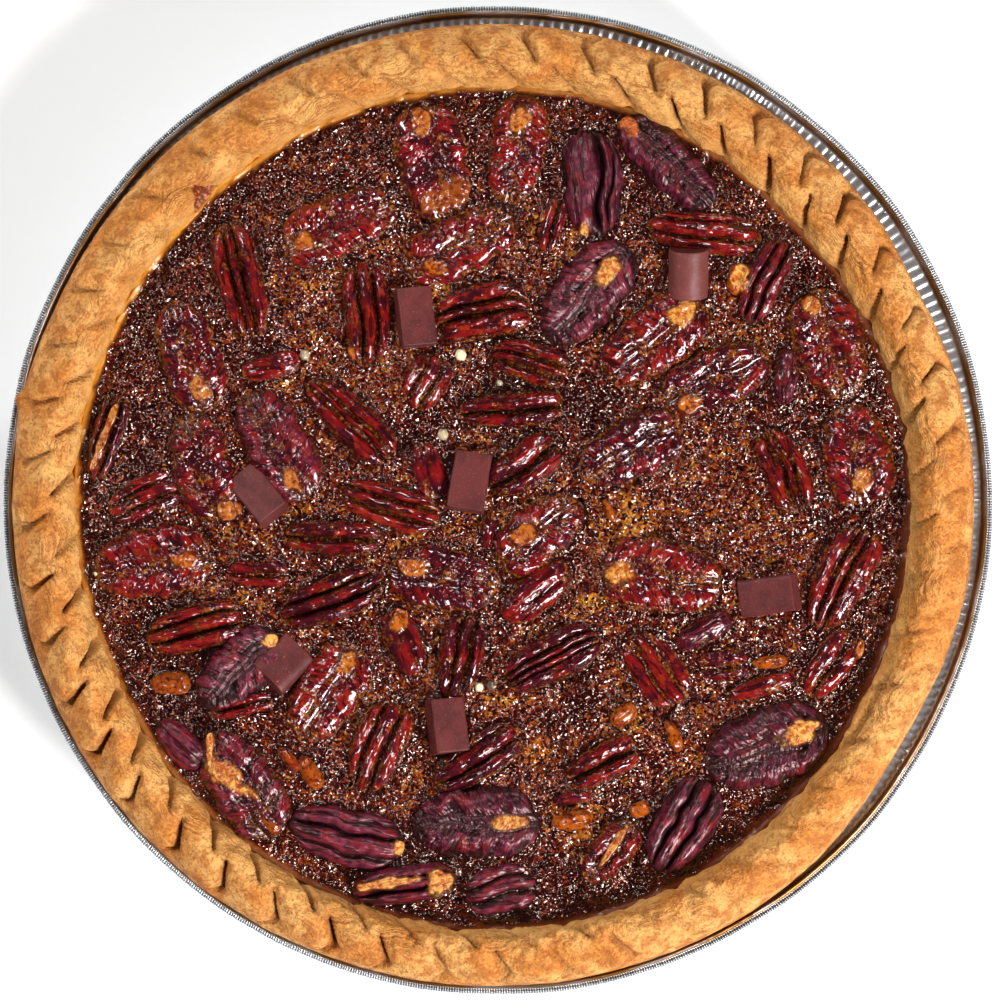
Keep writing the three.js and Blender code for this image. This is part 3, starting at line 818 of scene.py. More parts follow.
@dataclass
class Crust:
    """Pastry shell whose thick rim is pinched into domes outside and tongues inside."""

    shape: PieShape
    columns: int = 1152
    rim_rows: int = 62
    dome_rise: float = 2.0
    crease_depth: float = 2.8
    tongue_rise: float = 1.3
    notch_depth: float = 3.2
    seed: int = 11
    crest: float = 0.57  # where the crest is on the rim's line, 0 at its outer and 1 at its inner end
    hook: tuple[tuple[float, float], ...] = (  # how far a crease lags at a place on the rim's line, in crimps
        (0.1, -0.5), (0.2, -0.28), (0.26, -0.08), (0.32, 0), (0.42, -0.08), (0.56, -0.26), (0.7, -0.35),
    )
    drip_heading: float = 133.2
    flap: tuple[float, float] = (324.5, 338.0)  # the headings where the torn flap begins and ends
    lump_heading: float = 59.5
    flake_heading: float = 167.4

    def rim_line(self) -> Array:
        """Radius and height along the rim, from under its lip over the crest down into the filling."""
        corners = [
            (117.2, 31.0), (119.7, 32.1), (119.6, 34.4), (118.0, 37.2), (114.9, 40.3), (110.7, 41.8),
            (107.3, 40.6), (105.1, 37.8), (103.8, 34.6), (102.7, 31.0),
        ]
        return smooth_path(corners, self.rim_rows)

    def strengths(self, index: Array, seed: int, low: float, high: float) -> Array:
        """A random strength for each numbered crimp."""
        picks = np.random.default_rng(seed).uniform(low, high, self.shape.crimps)
        return picks[index.astype(int) % self.shape.crimps]

    def pinched(self, angle: Array, s: Array) -> tuple[Array, ...]:
        """The crimps, as far as they move the dough along its normals.

        Outside the crest a dome rises over each crimp as sin(pi t^1.6)^0.6 and a crease with the
        shape of a bell is cut where two domes meet; inside it, tongues rise as sin(pi t)^0.5
        between notches that are half a crimp further on.

        Args:
            angle: round the rim.
            s: along the rim's line.

        Returns:
            The lift, how deep in a crease, how far up a dome and how far out on a tongue each
            place is, and how many crimps in.
        """
        shape = self.shape
        crisp = shape.crispness(angle)
        crimp = shape.crimp(angle) - np.interp(s, *zip(*self.hook))
        part = crimp % 1
        outer = smooth(s, 0.16, 0.28) * smooth(s, 0.6, 0.5)
        dome = np.sin(np.pi * part**1.6) ** 0.6 - 0.62
        crease = bell(np.minimum(part, 1 - part), 0, 0.05 + 0.05 * smooth(s, 0.44, 0.24))
        crease = crease * self.strengths(np.round(crimp), self.seed, 0.6, 1.1)
        crease = crease * smooth(s, 0.16, 0.36) * smooth(s, 0.6, 0.5)

        notched = shape.crimp(angle) - 0.5 + 0.42 * np.clip((s - 0.58) / 0.3, -0.3, 1)
        part = notched % 1
        inside = smooth(s, 0.52, 0.66) * smooth(s, 0.95, 0.84)
        tongue = np.sin(np.pi * part) ** 0.5 - 0.7
        notch = bell(np.minimum(part, 1 - part), 0, 0.035 + 0.06 * smooth(s, 0.6, 0.9))
        notch = notch * self.strengths(np.round(notched), self.seed + 1, 0.45, 1.1)
        notch = notch * smooth(s, 0.54, 0.62) * smooth(s, 0.97, 0.8)

        size = self.strengths(np.floor(crimp), self.seed + 2, 0.8, 1.15)
        lift = outer * size * self.dome_rise * dome - self.crease_depth * crease
        lift = lift + inside * self.tongue_rise * tongue - self.notch_depth * notch
        return crisp * lift, crisp * (crease + notch), outer * smooth(dome, 0.1, 0.38), inside, crimp

    def build(self, material: Material) -> Piece:
        """Moves the turned rim along its own normals by the crimps and by random relief.

        Args:
            material: the dough.

        Returns:
            The crust.
        """
        shape = self.shape
        line = self.rim_line()
        s = np.linspace(0, 1, self.rim_rows)[:, None]
        turn = turns(self.columns)[None, :]
        angle = np.degrees(turn)
        along = np.gradient(line, axis=0)
        normal = np.stack([along[:, 1], -along[:, 0]], axis=1) / np.hypot(*along.T)[:, None]
        lift, sunk, domed, inside, crimp = self.pinched(angle, s)
        crest = bell(s, self.crest, 0.085)

        radius = line[:, 0:1] + (shape.edge(angle) - shape.edge_radius) * smooth(s, 0.5, 0.15)
        radius = radius + (shape.inner(angle) - shape.inner_radius) * smooth(s, 0.6, 0.9)
        radius = radius - shape.crispness(angle) * 1.2 * crest * np.cos(2 * np.pi * crimp)
        rough = polar(radius, turn, line[:, 1:2])
        flaky = np.abs(lumps(rough, 1.6, 31, 2)) * (crest + 0.35 * inside)
        relief = 0.6 * lumps(rough, 8, 21, 2) + 0.3 * lumps(rough, 2.8, 22, 2) + 0.16 * lumps(rough, 1.3, 23)
        relief = relief * (0.35 + 0.65 * smooth(s, 0.12, 0.34)) - 0.9 * smooth(s, 0.3, 0.18)
        wobble = lumps(rough, 5, 41, 2)
        drip = self.drip(angle, s, wobble)
        flap, crack = self.torn(angle, s)
        lump = 1.6 * bump(angle, self.lump_heading, 1.5) * bell(s, 0.83, 0.06)
        flake = 1.7 * bump(angle, self.flake_heading, 1.0) * bell(s, 0.15, 0.05)
        lift = lift + smooth(s, 0.0, 0.12) * (relief + 0.75 * flaky)
        lift = lift + flap - crack + lump + flake - 1.1 * drip * smooth(s, 0.9, 0.8)
        rim = polar(radius + normal[:, 0:1] * lift, turn, line[:, 1:2] + normal[:, 1:2] * lift)
        rim = rim + [*shape.middle, 0]
        under = [(90.15, 0.85), (91.9, 2.6), (100.5, 15.0), (109.9, 28.8), (111.5, 30.5), (115.6, 30.7)]
        lower = [polar(r, turn, z) for r, z in under]
        grid = np.concatenate([*lower, rim, polar(86.8, turn, 5.05)])

        honey = shape.honey(angle)
        masks = {
            # painted shade: how deep in a crease or notch, and the crack behind the flap
            "crevice": sunk + 0.8 * crack,
            "flake": np.maximum(crest, 0.6 * inside) * (0.45 + 1.3 * wobble),
            "wall": smooth(s, 0.68, 0.82),
            "toast": smooth(s, 0.3, 0.1) + 0.8 * domed,
            "caramel": smooth(s + 0.02 * wobble + 0.04 * honey, 0.905, 0.95),
            "honey": honey,
            "drip": drip,
        }
        fields = {name: np.clip(value, 0, 1) for name, value in masks.items()}
        fields["layer"] = 30 * s + 1.6 * np.cos(2 * np.pi * crimp) * bell(s, self.crest, 0.2)
        hidden = ((len(under), 1), (0, 0))
        fields = {name: np.pad(value + 0 * lift, hidden) for name, value in fields.items()}
        sheet = Sheet.rings(grid, (0, 0, 0.85), (0, 0, 5.05), **fields)
        return sheet.show("pastry", material, Slot.CRUST, "crust")

    def drip(self, angle: Array, s: Array, wobble: Array) -> Array:
        """A notch that the syrup ran into: a triangle with its tip at the crest, and one drop beside it.

        Args:
            angle: round the rim.
            s: along the rim's line.
            wobble: makes its edge ragged.

        Returns:
            1 inside it.
        """
        widened = np.clip((s - 0.61) / 0.29, 0, 1)
        aside = np.abs(angle - self.drip_heading + 0.2 * widened)
        notch = smooth(aside - 2.6 * widened + 0.5 * wobble, 0.2, -0.3) * smooth(s, 0.61, 0.64)
        return np.maximum(notch, 0.6 * bump(angle, self.drip_heading - 1.9, 0.7) * bell(s, 0.645, 0.022))

    def torn(self, angle: Array, s: Array) -> tuple[Array, Array]:
        """A torn flap of dough on the inside of the rim and the crack behind it.

        Args:
            angle: round the rim.
            s: along the rim's line.

        Returns:
            How far each lifts or sinks the dough.
        """
        start, end = self.flap
        span = smooth(angle, start, start + 2.5) * smooth(angle, end, end - 2.5)
        shifted = s - 0.012 * np.sin(np.radians(angle) * 40)
        return 1.5 * span * bell(shifted, 0.79, 0.035), 1.6 * span * bell(shifted, 0.725, 0.014)


# ------------------------------------------------------------------------ pecan halves


class Ridges(Enum):
    """Long ridges of a half, from its left to its right: middle, half width and height of each."""

    THREE = ((0.66, 0.32, 0.94), (0.02, 0.28, 1.0), (-0.64, 0.32, 0.94))
    THIN_MIDDLE = ((0.62, 0.34, 1.0), (0.06, 0.15, 0.8), (-0.54, 0.38, 1.0))
    THIN_RIGHT = ((0.62, 0.36, 1.0), (0.0, 0.22, 0.9), (-0.64, 0.26, 0.86))
    THIN_LEFT = ((0.74, 0.22, 0.8), (0.2, 0.36, 1.0), (-0.52, 0.34, 0.94))
    TWO = ((0.44, 0.46, 1.0), (-0.54, 0.38, 0.94))
    FOUR = ((0.66, 0.31, 1.0), (0.19, 0.13, 0.8), (-0.12, 0.14, 0.78), (-0.6, 0.36, 1.0))
    WIDE_FOUR = ((0.8, 0.2, 0.76), (0.46, 0.24, 0.95), (-0.16, 0.34, 1.0), (-0.74, 0.25, 0.82))
    BROAD_LEFT = ((0.38, 0.58, 1.0), (-0.42, 0.16, 0.92), (-0.78, 0.2, 0.86))
    BROAD = ((0.3, 0.66, 1.0), (-0.56, 0.42, 0.92))
    LOBES = ((0.58, 0.43, 1.0), (0.11, 0.17, 0.56), (-0.14, 0.15, 0.5), (-0.6, 0.42, 0.97))
    ONE = ((0.0, 0.96, 1.0),)


@dataclass(frozen=True)
class Placed:
    """Something on the filling: where its middle is, its size and where its length points."""

    x: float
    y: float
    length: float
    width: float
    heading: float

    def local(self, x: Array, y: Array) -> tuple[Array, Array]:
        """How far along it and to its left a place is, in millimetres from its middle."""
        turn = math.radians(self.heading)
        u = (x - self.x) * math.cos(turn) + (y - self.y) * math.sin(turn)
        v = (y - self.y) * math.cos(turn) - (x - self.x) * math.sin(turn)
        return u, v

    def reach(self, x: Array, y: Array) -> Array:
        """0 in its middle and 1 on the oval that its length and width span."""
        u, v = self.local(x, y)
        return np.hypot(2 * u / self.length, 2 * v / self.width)


@dataclass(frozen=True)
class Spot(Placed):
    """A pale place on a nut: the scar at its blunt end, a broken tip or a chip."""

    pale: float = 0.5  # 0 is toasted orange, 1 pale tan
    rise: float = 0.5
    strength: float = 1.0

    def cover(self, x: Array, y: Array) -> Array:
        """1 inside the spot's ragged oval, fading to 0 over its edge."""
        return smooth(self.reach(x, y) + 0.3 * lumps(stacked(x, y, 0.0), 2.2, 88, 2), 1.15, 0.85)


@dataclass(frozen=True)
class Nut(Placed):
    """One pecan half or piece: its outline on the filling and how it looks."""

    name: str
    lie: Lie
    glaze: float  # 1 sunk and glossy, 0 bare
    ridges: Ridges
    seed: int
    toasted: float  # 1 where its skin is gone and it is orange-brown all over

    def clearance(self, x: Array, y: Array) -> Array:
        """About how far outside the nut's outline a place is, in millimetres."""
        return (self.reach(x, y) - 1) * min(self.length, self.width) / 2


@dataclass
class NutMaker:
    """Shapes the nuts: long ridges on a back, two wrinkled lobes and a groove on a face."""

    shape: PieShape
    spots: list[Spot]
    rows: int = 60
    columns: int = 84
    sunk: float = 3.4
    back_rise: float = 4.3
    face_rise: float = 3.7
    bare_rise: float = 1.1
    bit_rise: float = 2.7
    face_scallop: float = 0.045  # how far the outline waves in and out, of its width
    back_scallop: float = 0.02
    face_waist: float = 0.42  # how high its widest place is, of its whole height
    back_waist: float = 0.32
    half_seep: float = 2.2  # how far above the filling it is wet with syrup
    bit_seep: float = 1.3

    def height(self, nut: Nut) -> float:
        """How far the top stands above the nut's foot."""
        rise = {Lie.BACK: self.back_rise, Lie.BIT: self.bit_rise}.get(nut.lie, self.face_rise)
        return self.sunk + rise + self.bare_rise * (1 - nut.glaze)

    def top(self, nut: Nut, q: Array, s: Array, outline: Array,
            random: np.random.Generator) -> tuple[Array, Array]:
        """The relief of the side that shows.

        Each ridge is an arch, height * (1 - (distance / half width)^2)^0.6, which keeps its own
        width along the nut and ends in a round tip of its own; the highest one counts. Wrinkles
        cross a face, or run along a back.

        Args:
            nut: which nut.
            q: across it, -1 to 1 at every place along it.
            s: along it, -1 at the tip to 1 at the blunt end.
            outline: half width at s, 1 at most.
            random: the nut's own draws.

        Returns:
            Height from 0 to 1, and how deep in a furrow each place is, also 0 to 1.
        """
        is_face = nut.lie is Lie.FACE
        across = q * outline**0.7
        drift = stacked(s * nut.length / 12, q / 3, nut.seed)
        sway = random.uniform(-0.05, 0.05) + 0.06 * np.sin(2.5 * s + random.uniform(0, 6))
        sway = sway + 0.09 * lumps(drift, 1.0, nut.seed + 9, 2)
        total = np.zeros(np.broadcast(q, s).shape)
        for middle, half, top in nut.ridges.value:
            reach = 1 - 0.12 * random.uniform(0, 1) * abs(middle)
            shift = random.uniform(-0.06, 0.06)
            ends = np.clip(1 - np.abs((s - shift) / reach) ** 8, 0, 1) ** 0.5
            wavy = 1 + 0.1 * np.sin(random.uniform(6, 10) * s + random.uniform(0, 6)) * is_face
            arch = np.clip(1 - ((across - middle - sway) / (half * wavy)) ** 2, 0, 1) ** 0.6
            total += (top * random.uniform(0.93, 1.0) * ends * arch) ** 10
        arches = total ** (1 / 10)
        aside = across * nut.width / 2
        along = s * nut.length / 2
        if is_face:
            grain = stacked(along / 0.9 + 0.5 * np.abs(aside), aside / 2.6, nut.seed)
            folds = smooth(lumps(grain, 1.6, nut.seed, 2), 0.05, -0.45) * smooth(np.abs(across), 0.1, 0.35)
            depth = 0.26 if nut.glaze < 0.5 else 0.17
        else:
            grain = stacked(along / 5, aside / 1.1, nut.seed)
            folds = smooth(lumps(grain, 1.4, nut.seed, 2), 0.0, -0.6)
            depth = 0.1 if nut.glaze < 0.5 else 0.06
        side = (1 - np.abs(q) ** 3.2) ** 0.5
        floor = {Lie.BIT: 0.5, Lie.FACE: 0.44}.get(nut.lie, 0.44 - 0.08 * nut.glaze)
        relief = floor + (1 - floor) * arches
        return side * (relief - depth * folds), np.clip(1.15 * (1 - arches) + folds * depth * 2.4, 0, 1)

    def sheet(self, nut: Nut) -> Sheet:
        """One nut as a closed loaf of sections along its length.

        Each section is as wide as the outline, an egg with width (1 - |s|^2.6)^0.5 (1 + 0.1 s); its
        upper half carries the relief and its lower half is a shallow bowl. Towards the tips all
        heights close in on one point.

        Args:
            nut: which nut.

        Returns:
            The sheet, placed on the filling.
        """
        random = np.random.default_rng(nut.seed)
        s = -np.cos(np.linspace(0, np.pi, self.rows + 2)[1:-1, None])
        upper = int(self.columns * 0.78)
        round_top = np.linspace(0, np.pi, upper, endpoint=False)
        round_foot = np.linspace(np.pi, 2 * np.pi, self.columns - upper, endpoint=False)
        b = np.concatenate([round_top, round_foot])
        on_top = np.sin(b) >= 0
        q = 0.45 * np.cos(b) + 0.55 * np.concatenate([1 - 2 * round_top / np.pi, np.cos(round_foot)])
        outline = (1 - np.abs(s) ** 2.6) ** 0.5
        egg = outline * (1 + 0.1 * s)
        is_face = nut.lie is Lie.FACE
        scallop = self.face_scallop if is_face else self.back_scallop
        ragged = 1 + scallop * np.sin(12 * s + np.where(q > 0, 0, 2) + random.uniform(0, 6))
        across = q * egg * ragged * nut.width / 2 + random.uniform(-0.5, 0.5) * (1 - s**2)
        along = s * nut.length / 2

        tall = self.height(nut)
        base = (self.face_waist if is_face else self.back_waist) * tall
        relief, furrow = self.top(nut, q, s, outline, random)
        crown = tall * (1 - 0.2 * np.abs(s) ** 3)
        bowl = base * (1 - np.abs(np.sin(b)) ** 0.7)
        z = np.where(on_top, base + (crown - base) * relief, bowl)
        tip = 0.46 * tall
        z = tip + (z - tip) * (1 - np.abs(s) ** 9) ** 0.5
        foot = self.shape.surface(nut.x, nut.y) - self.sunk

        turn = math.radians(nut.heading)
        axis = np.array([math.cos(turn), math.sin(turn), 0])
        x = nut.x + along * axis[0] - across * axis[1]
        y = nut.y + along * axis[1] + across * axis[0]
        grid = stacked(x, y, foot + z)
        wrinkle = 0.16 * lumps(grid, 1.7, nut.seed + 5, 2) + 0.22 * lumps(grid, 5, nut.seed + 6)
        grid[..., 2] += wrinkle * on_top * smooth(np.abs(s), 1.0, 0.93)
        tan = brim = 0 * x
        toasted = nut.toasted + 0 * x
        for spot in self.spots:
            if math.hypot(spot.x - nut.x, spot.y - nut.y) < 0.55 * (nut.length + spot.length):
                cover = spot.cover(x, y) * on_top * spot.strength
                level = grid[..., 2].max(where=cover > 0.5, initial=foot) - 0.4
                knobs = 0.35 * lumps(grid, 1.5, nut.seed + 7, 2)
                raised = np.maximum(grid[..., 2], level + spot.rise * (1 + 0.6 * wrinkle)) + knobs
                grid[..., 2] += (raised - grid[..., 2]) * cover
                tan = np.maximum(tan, cover * spot.pale)
                toasted = np.maximum(toasted * (1 - cover), cover * (1 - spot.pale))
                furrow = furrow * (1 - 0.85 * cover)
                brim = np.maximum(brim, 4 * cover * (1 - cover) * (spot.rise > 0.3))
        above = grid[..., 2] - self.shape.surface(x, y)
        seep = self.bit_seep if nut.lie is Lie.BIT else self.half_seep
        # Wrinkles run out and back over a face, and along a back.
        grain_along, grain_across = (1.0, 0.35) if is_face else (0.22, 1.0)
        bent = along + 0.5 * np.abs(across) * is_face
        middle = np.array([nut.x, nut.y, foot + tip])
        return Sheet.rings(
            grid, middle - axis * nut.length / 2, middle + axis * nut.length / 2,
            furrow=furrow,
            glaze=nut.glaze,
            seep=np.clip(1 - above / seep, 0, 1),
            tone=random.uniform(-1, 1),
            tan=tan,
            toasted=toasted,
            brim=brim,
            way_along=(bent * grain_along + 40 * nut.seed) * MM,
            way_across=across * grain_across * MM,
        )


def lying(node: str) -> tuple[float, ...]:
    """Reads where a half lies from its node: its tips are the two points furthest apart.

    Args:
        node: the node's name.

    Returns:
        x, y, length, width and the heading of its wider end.
    """
    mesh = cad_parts[node].data
    flat = np.zeros(3 * len(mesh.vertices), np.float32)
    mesh.vertices.foreach_get("co", flat)
    places = np.unique((flat.reshape(-1, 3)[:, :2] / MM).round(2), axis=0).astype(float)
    apart = np.hypot(*(places[:, None] - places[None]).transpose(2, 0, 1))
    first, second = np.unravel_index(apart.argmax(), apart.shape)
    axis = (places[second] - places[first]) / apart.max()
    middle = (places[first] + places[second]) / 2
    along = (places - middle) @ axis
    aside = np.abs((places - middle) @ np.array([-axis[1], axis[0]]))
    if aside[along > 0].max() < aside[along < 0].max():
        axis = -axis
    heading = math.degrees(math.atan2(axis[1], axis[0]))
    return (*middle, apart.max(), 2 * aside.max(), heading)


@dataclass
class Toppings:
    """All the nuts: 50 halves that are nodes, and the small pieces that are one with the filling."""

    half_seed: int = 100
    bit_seed: int = 300
    # Halves that lie bare on the syrup, and those that are only partly glazed.
    bare: dict[str, float] = field(default_factory=lambda: {
        "back_02": 0.0, "back_21": 0.05, "back_24": 0.1, "face_05": 0.05, "face_07": 0.1,
        "face_16": 0.0, "face_21": 0.45, "face_22": 0.05, "face_24": 0.15, "edge_02": 0.15,
        "face_08": 0.55, "back_09": 0.6, "bit_17": 0.1, "bit_19": 0.2, "bit_10": 0.6, "bit_11": 0.6,
    })
    # A piece of chocolate hides one tip of these, so their place is stated: x, y, length, width, heading.
    tucked: dict[str, tuple[float, ...]] = field(default_factory=lambda: {
        "back_18": (-9.2, -38.8, 22, 12.2, 77),
        "face_10": (38.8, 40.2, 32, 17.4, 38),
    })
    # Small or drowned pieces: x, y, length, width, heading.
    small: tuple[tuple[float, ...], ...] = (
        (13.4, 68, 16, 6.6, 75), (-56.5, 33.2, 16, 8.2, 12), (-17.6, 29.2, 15.2, 12.6, 63),
        (-87.4, 0.5, 20, 12, 22), (-59.4, -18.3, 16.2, 8.8, 0), (-23.3, -35.4, 18, 10.2, 114),
        (-16.6, 7.4, 15.6, 10.2, -72), (-2.2, -8.4, 8.4, 4.4, 80), (38.8, -41.6, 22, 14.6, -50),
        (71, 30.2, 14.8, 7.2, 85), (51, -32.7, 16.2, 7.8, 30), (55.4, -40.8, 13.8, 9.6, 5),
        (67.4, -40, 9.8, 4, 5), (65.4, -46.2, 19, 6.2, 17), (82.6, -40.6, 20.4, 11.6, 55),
        (-81, -45.6, 10.4, 6.8, 0), (-78.2, -60.2, 16, 9.2, -42), (-46.2, -67.4, 9.8, 5.4, -60),
        (0.6, -96.8, 18.6, 13.6, 10), (18.2, -74, 10.4, 4, 8), (43.2, -58.6, 8.8, 4.4, -67),
        (-63.4, -51.2, 17.5, 6.2, 12), (27.5, -2.7, 6.4, 2.7, -65), (-51.8, -64.4, 8.4, 4, -48),
        (59.6, 54.6, 9, 7, 80), (18.2, -79.2, 11, 5.4, 8), (35, -76.6, 5.5, 5, 20), (31, -53, 8, 5.5, 40),
        (-57, -79.5, 9, 4.6, -40), (-66.5, -2, 7, 5.5, 20),
    )
    # Pieces that are orange-brown all over.
    browned: dict[str, float] = field(default_factory=lambda: {
        "bit_13": 0.9, "bit_16": 0.6, "bit_18": 0.7, "bit_21": 0.9, "bit_23": 1.0, "bit_24": 0.4,
        "bit_25": 0.8, "bit_26": 0.9, "bit_27": 0.9, "bit_28": 0.8, "bit_29": 0.5, "bit_30": 0.8,
    })
    # How the pieces that aren't like most are ridged.
    ridged: dict[Ridges, str] = field(default_factory=lambda: {
        Ridges.THIN_MIDDLE: "back_01 back_03 back_05 back_10 back_19",
        Ridges.THIN_RIGHT: "back_06 back_18",
        Ridges.THIN_LEFT: "back_08 back_22",
        Ridges.BROAD_LEFT: "back_02",
        Ridges.FOUR: "back_17",
        Ridges.WIDE_FOUR: "back_21",
        Ridges.BROAD: "back_16 bit_06 bit_07 bit_17 bit_25",
        Ridges.TWO: "back_07 back_11 back_15 back_23 bit_01 bit_05 bit_12 bit_15 bit_22",
        Ridges.ONE: "bit_02 bit_08 bit_10 bit_11 bit_13 bit_14 bit_16 bit_18 bit_20 bit_21 bit_23 bit_24"
                    " bit_26 bit_27 bit_28 bit_29 bit_30",
    })

    def nut(self, name: str, place: tuple[float, ...], seed: int) -> Nut:
        """One nut with all that the tables say of it.

        Args:
            name: its name, which says how it lies.
            place: x, y, length, width and heading.
            seed: for its own draws.

        Returns:
            The nut.
        """
        key = name.removeprefix("pecan_")
        lie = Lie(key.split("_")[0])
        usual = Ridges.LOBES if lie is Lie.FACE else Ridges.THREE
        ridges = next((kind for kind, keys in self.ridged.items() if key in keys.split()), usual)
        return Nut(*place, name, lie, self.bare.get(key, 1.0), ridges, seed, self.browned.get(key, 0.0))

    def halves(self) -> list[Nut]:
        """The halves that are nodes, in the order of their names."""
        nodes = sorted(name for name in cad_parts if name.startswith("pecan_"))
        places = [self.tucked.get(node.removeprefix("pecan_")) or lying(node) for node in nodes]
        numbered = enumerate(zip(nodes, places), self.half_seed)
        return [self.nut(node, place, seed) for seed, (node, place) in numbered]

    def bits(self) -> list[Nut]:
        """The small pieces, which stand for no node."""
        return [self.nut(f"bit_{i + 1:02d}", place, self.bit_seed + i) for i, place in enumerate(self.small)]


# ------------------------------------------------------------------------ filling


@dataclass
class Filling:
    """The set filling: a crackled disc that climbs a little at the nuts and at the dough."""

    shape: PieShape
    cells: int = 288
    floor_height: float = 5.4
    floor_radius: float = 86.4
    tucked: float = 1.2  # how far its edge reaches into the dough
    climb: float = 0.6  # how high it climbs at a nut
    climb_reach: float = 1.3
    block_climb: float = 0.3
    pit_depth: float = 1.3
    # Near-black patches, and orange and amber ones: x, y and radius.
    burnt_places: tuple[tuple[float, ...], ...] = (
        (-17, 17, 9), (23, 23.5, 7), (2, 27, 9), (22.3, -50, 6), (-84, 8, 7), (-82, -28, 5),
    )
    gold_places: tuple[tuple[float, ...], ...] = (
        (10.4, -63, 3.5), (19, -78.5, 6), (30.5, -55, 5), (33, -8, 7), (62, 38, 5), (-80, 88, 8),
    )

    def place(self) -> tuple[Array, Array, Array]:
        """A square grid bent to a disc: the larger of |a| and |b| is the reach, the other the angle.

        Returns:
            x, y and reach, 1 at the dough.
        """
        a, b = np.meshgrid(*[np.linspace(-1, 1, self.cells + 1)] * 2, indexing="ij")
        wide = np.abs(a) > np.abs(b)
        larger = np.where(wide, a, b)
        other = np.where(wide, b, a)
        share = np.divide(other, larger, out=np.zeros_like(a), where=larger != 0)
        turn = np.where(wide, np.pi / 4 * share, np.pi / 2 - np.pi / 4 * share)
        cosine = larger * np.cos(turn)
        sine = larger * np.sin(turn)
        radius = self.shape.inner(np.degrees(np.arctan2(sine, cosine))) + self.tucked
        middle = self.shape.middle
        return middle[0] + radius * cosine, middle[1] + radius * sine, np.abs(larger)

    def colouring(self, x: Array, y: Array, reach: Array, nuts: list[Nut]) -> dict[str, Array]:
        """How burnt or in painted shade, golden, creamy or smooth with caramel each place is.

        Args:
            x: places on the filling.
            y: places on the filling.
            reach: 1 at the dough.
            nuts: painted shade at their foot and a painted shadow on the side that the light doesn't reach.

        Returns:
            The numbers by the names that the finish reads.
        """
        angle = np.degrees(np.arctan2(y, x))
        wobble = lumps(stacked(x, y, 0.0), 4, 53, 2)
        wide = 0.6 + 0.5 * bump(angle, 350, 40)
        caramel = smooth(self.inward(reach) + 0.5 * wobble, 1.9 * wide, 0.5 * wide)
        burnt = blots(x, y, self.burnt_places)
        burnt = burnt + 0.45 * smooth(reach, 0.7, 0.92) - 0.2 * smooth(reach, 0.75, 0.3)
        for nut in nuts:
            # painted shadow on each nut's side away from the light, and painted shade round its foot
            away = (nut.y - y - x + nut.x) / np.hypot(x - nut.x, y - nut.y).clip(1)
            near = nut.clearance(x, y)
            beside = smooth(near, 1.6, 0.3) * smooth(-away, -0.2, 0.9)
            burnt = burnt + 0.9 * beside * smooth(wobble, -0.6, 0.2) + 0.5 * smooth(near, 0.8, 0.2)
        # near the dough, gold is the caramel's painted lit side
        gold = blots(x, y, self.gold_places) * (1 - caramel) + caramel * self.shape.honey(angle)
        return {"caramel": caramel, "burnt": burnt, "gold": gold, "cream": 0 * x}

    def inward(self, reach: Array) -> Array:
        """About how far in from the dough a place is, in millimetres."""
        return (1 - reach) * self.shape.inner_radius - self.tucked + 0.3

    def build(self, material: Material, nuts: list[Nut], blocks: list["Block"]) -> Piece:
        """Raises the disc, wraps its edge down to the floor and shuts the floor with a fan.

        Args:
            material: the set syrup.
            nuts: what it climbs up.
            blocks: the chocolate, which it climbs less.

        Returns:
            The filling.
        """
        x, y, reach = self.place()
        rise = self.relief(x, y, nuts)
        for block in blocks:
            rise = rise + self.block_climb * np.exp(-np.clip(block.clearance(x, y), 0, None) / 0.9)
        edge = self.inward(reach)
        top = self.shape.surface(x, y) + rise * smooth(edge, 0.0, 1.6) + 0.6 * np.exp(-edge.clip(0) / 0.9)
        points = stacked(x, y, top).reshape(-1, 3)

        index = np.arange(x.size).reshape(x.shape)
        quads = stacked(index[:-1, :-1], index[1:, :-1], index[1:, 1:], index[:-1, 1:]).reshape(-1, 4)
        ring = np.concatenate([index[-1, :-1], index[:0:-1, -1], index[0, :0:-1], index[:-1, 0]])
        out = points[ring, :2] - self.shape.middle
        out = out / np.hypot(*out.T)[:, None]
        foot = np.column_stack([out * self.floor_radius, np.full(len(ring), self.floor_height)])
        low = x.size + np.arange(len(ring))
        walls = stacked(low, np.roll(low, -1), np.roll(ring, -1), ring)
        fan = stacked(x.size + len(ring), np.roll(low, -1), low)
        points = np.concatenate([points, foot, [[0, 0, self.floor_height]]])
        fields = {
            name: np.pad(np.clip(value, -1, 1).ravel(), (0, len(ring) + 1))
            for name, value in self.colouring(x, y, reach, nuts).items()
        }
        sheet = Sheet(points, np.concatenate([quads, walls]), fan, fields)
        return sheet.show("filling_skin", material, Slot.FILLING, "filling")

    def relief(self, x: Array, y: Array, nuts: list[Nut]) -> Array:
        """Lumps, granules and pits of the skin, and its rise e^(-distance / reach) towards each nut.

        Args:
            x: places on the filling.
            y: places on the filling.
            nuts: what the skin climbs.

        Returns:
            Heights above the filling's smooth surface.
        """
        flat = stacked(x, y, 0.0)
        rise = 0.4 * lumps(flat, 7, 51, 2) + 0.34 * lumps(flat, 2.2, 52, 2)
        climb = np.zeros_like(x)
        for nut in nuts:
            climb = np.maximum(climb, np.exp(-np.clip(nut.clearance(x, y), 0, None) / self.climb_reach))
        pits = smooth(lumps(flat, 2.6, 54), 0.62, 0.82)
        return rise + self.climb * climb - self.pit_depth * pits


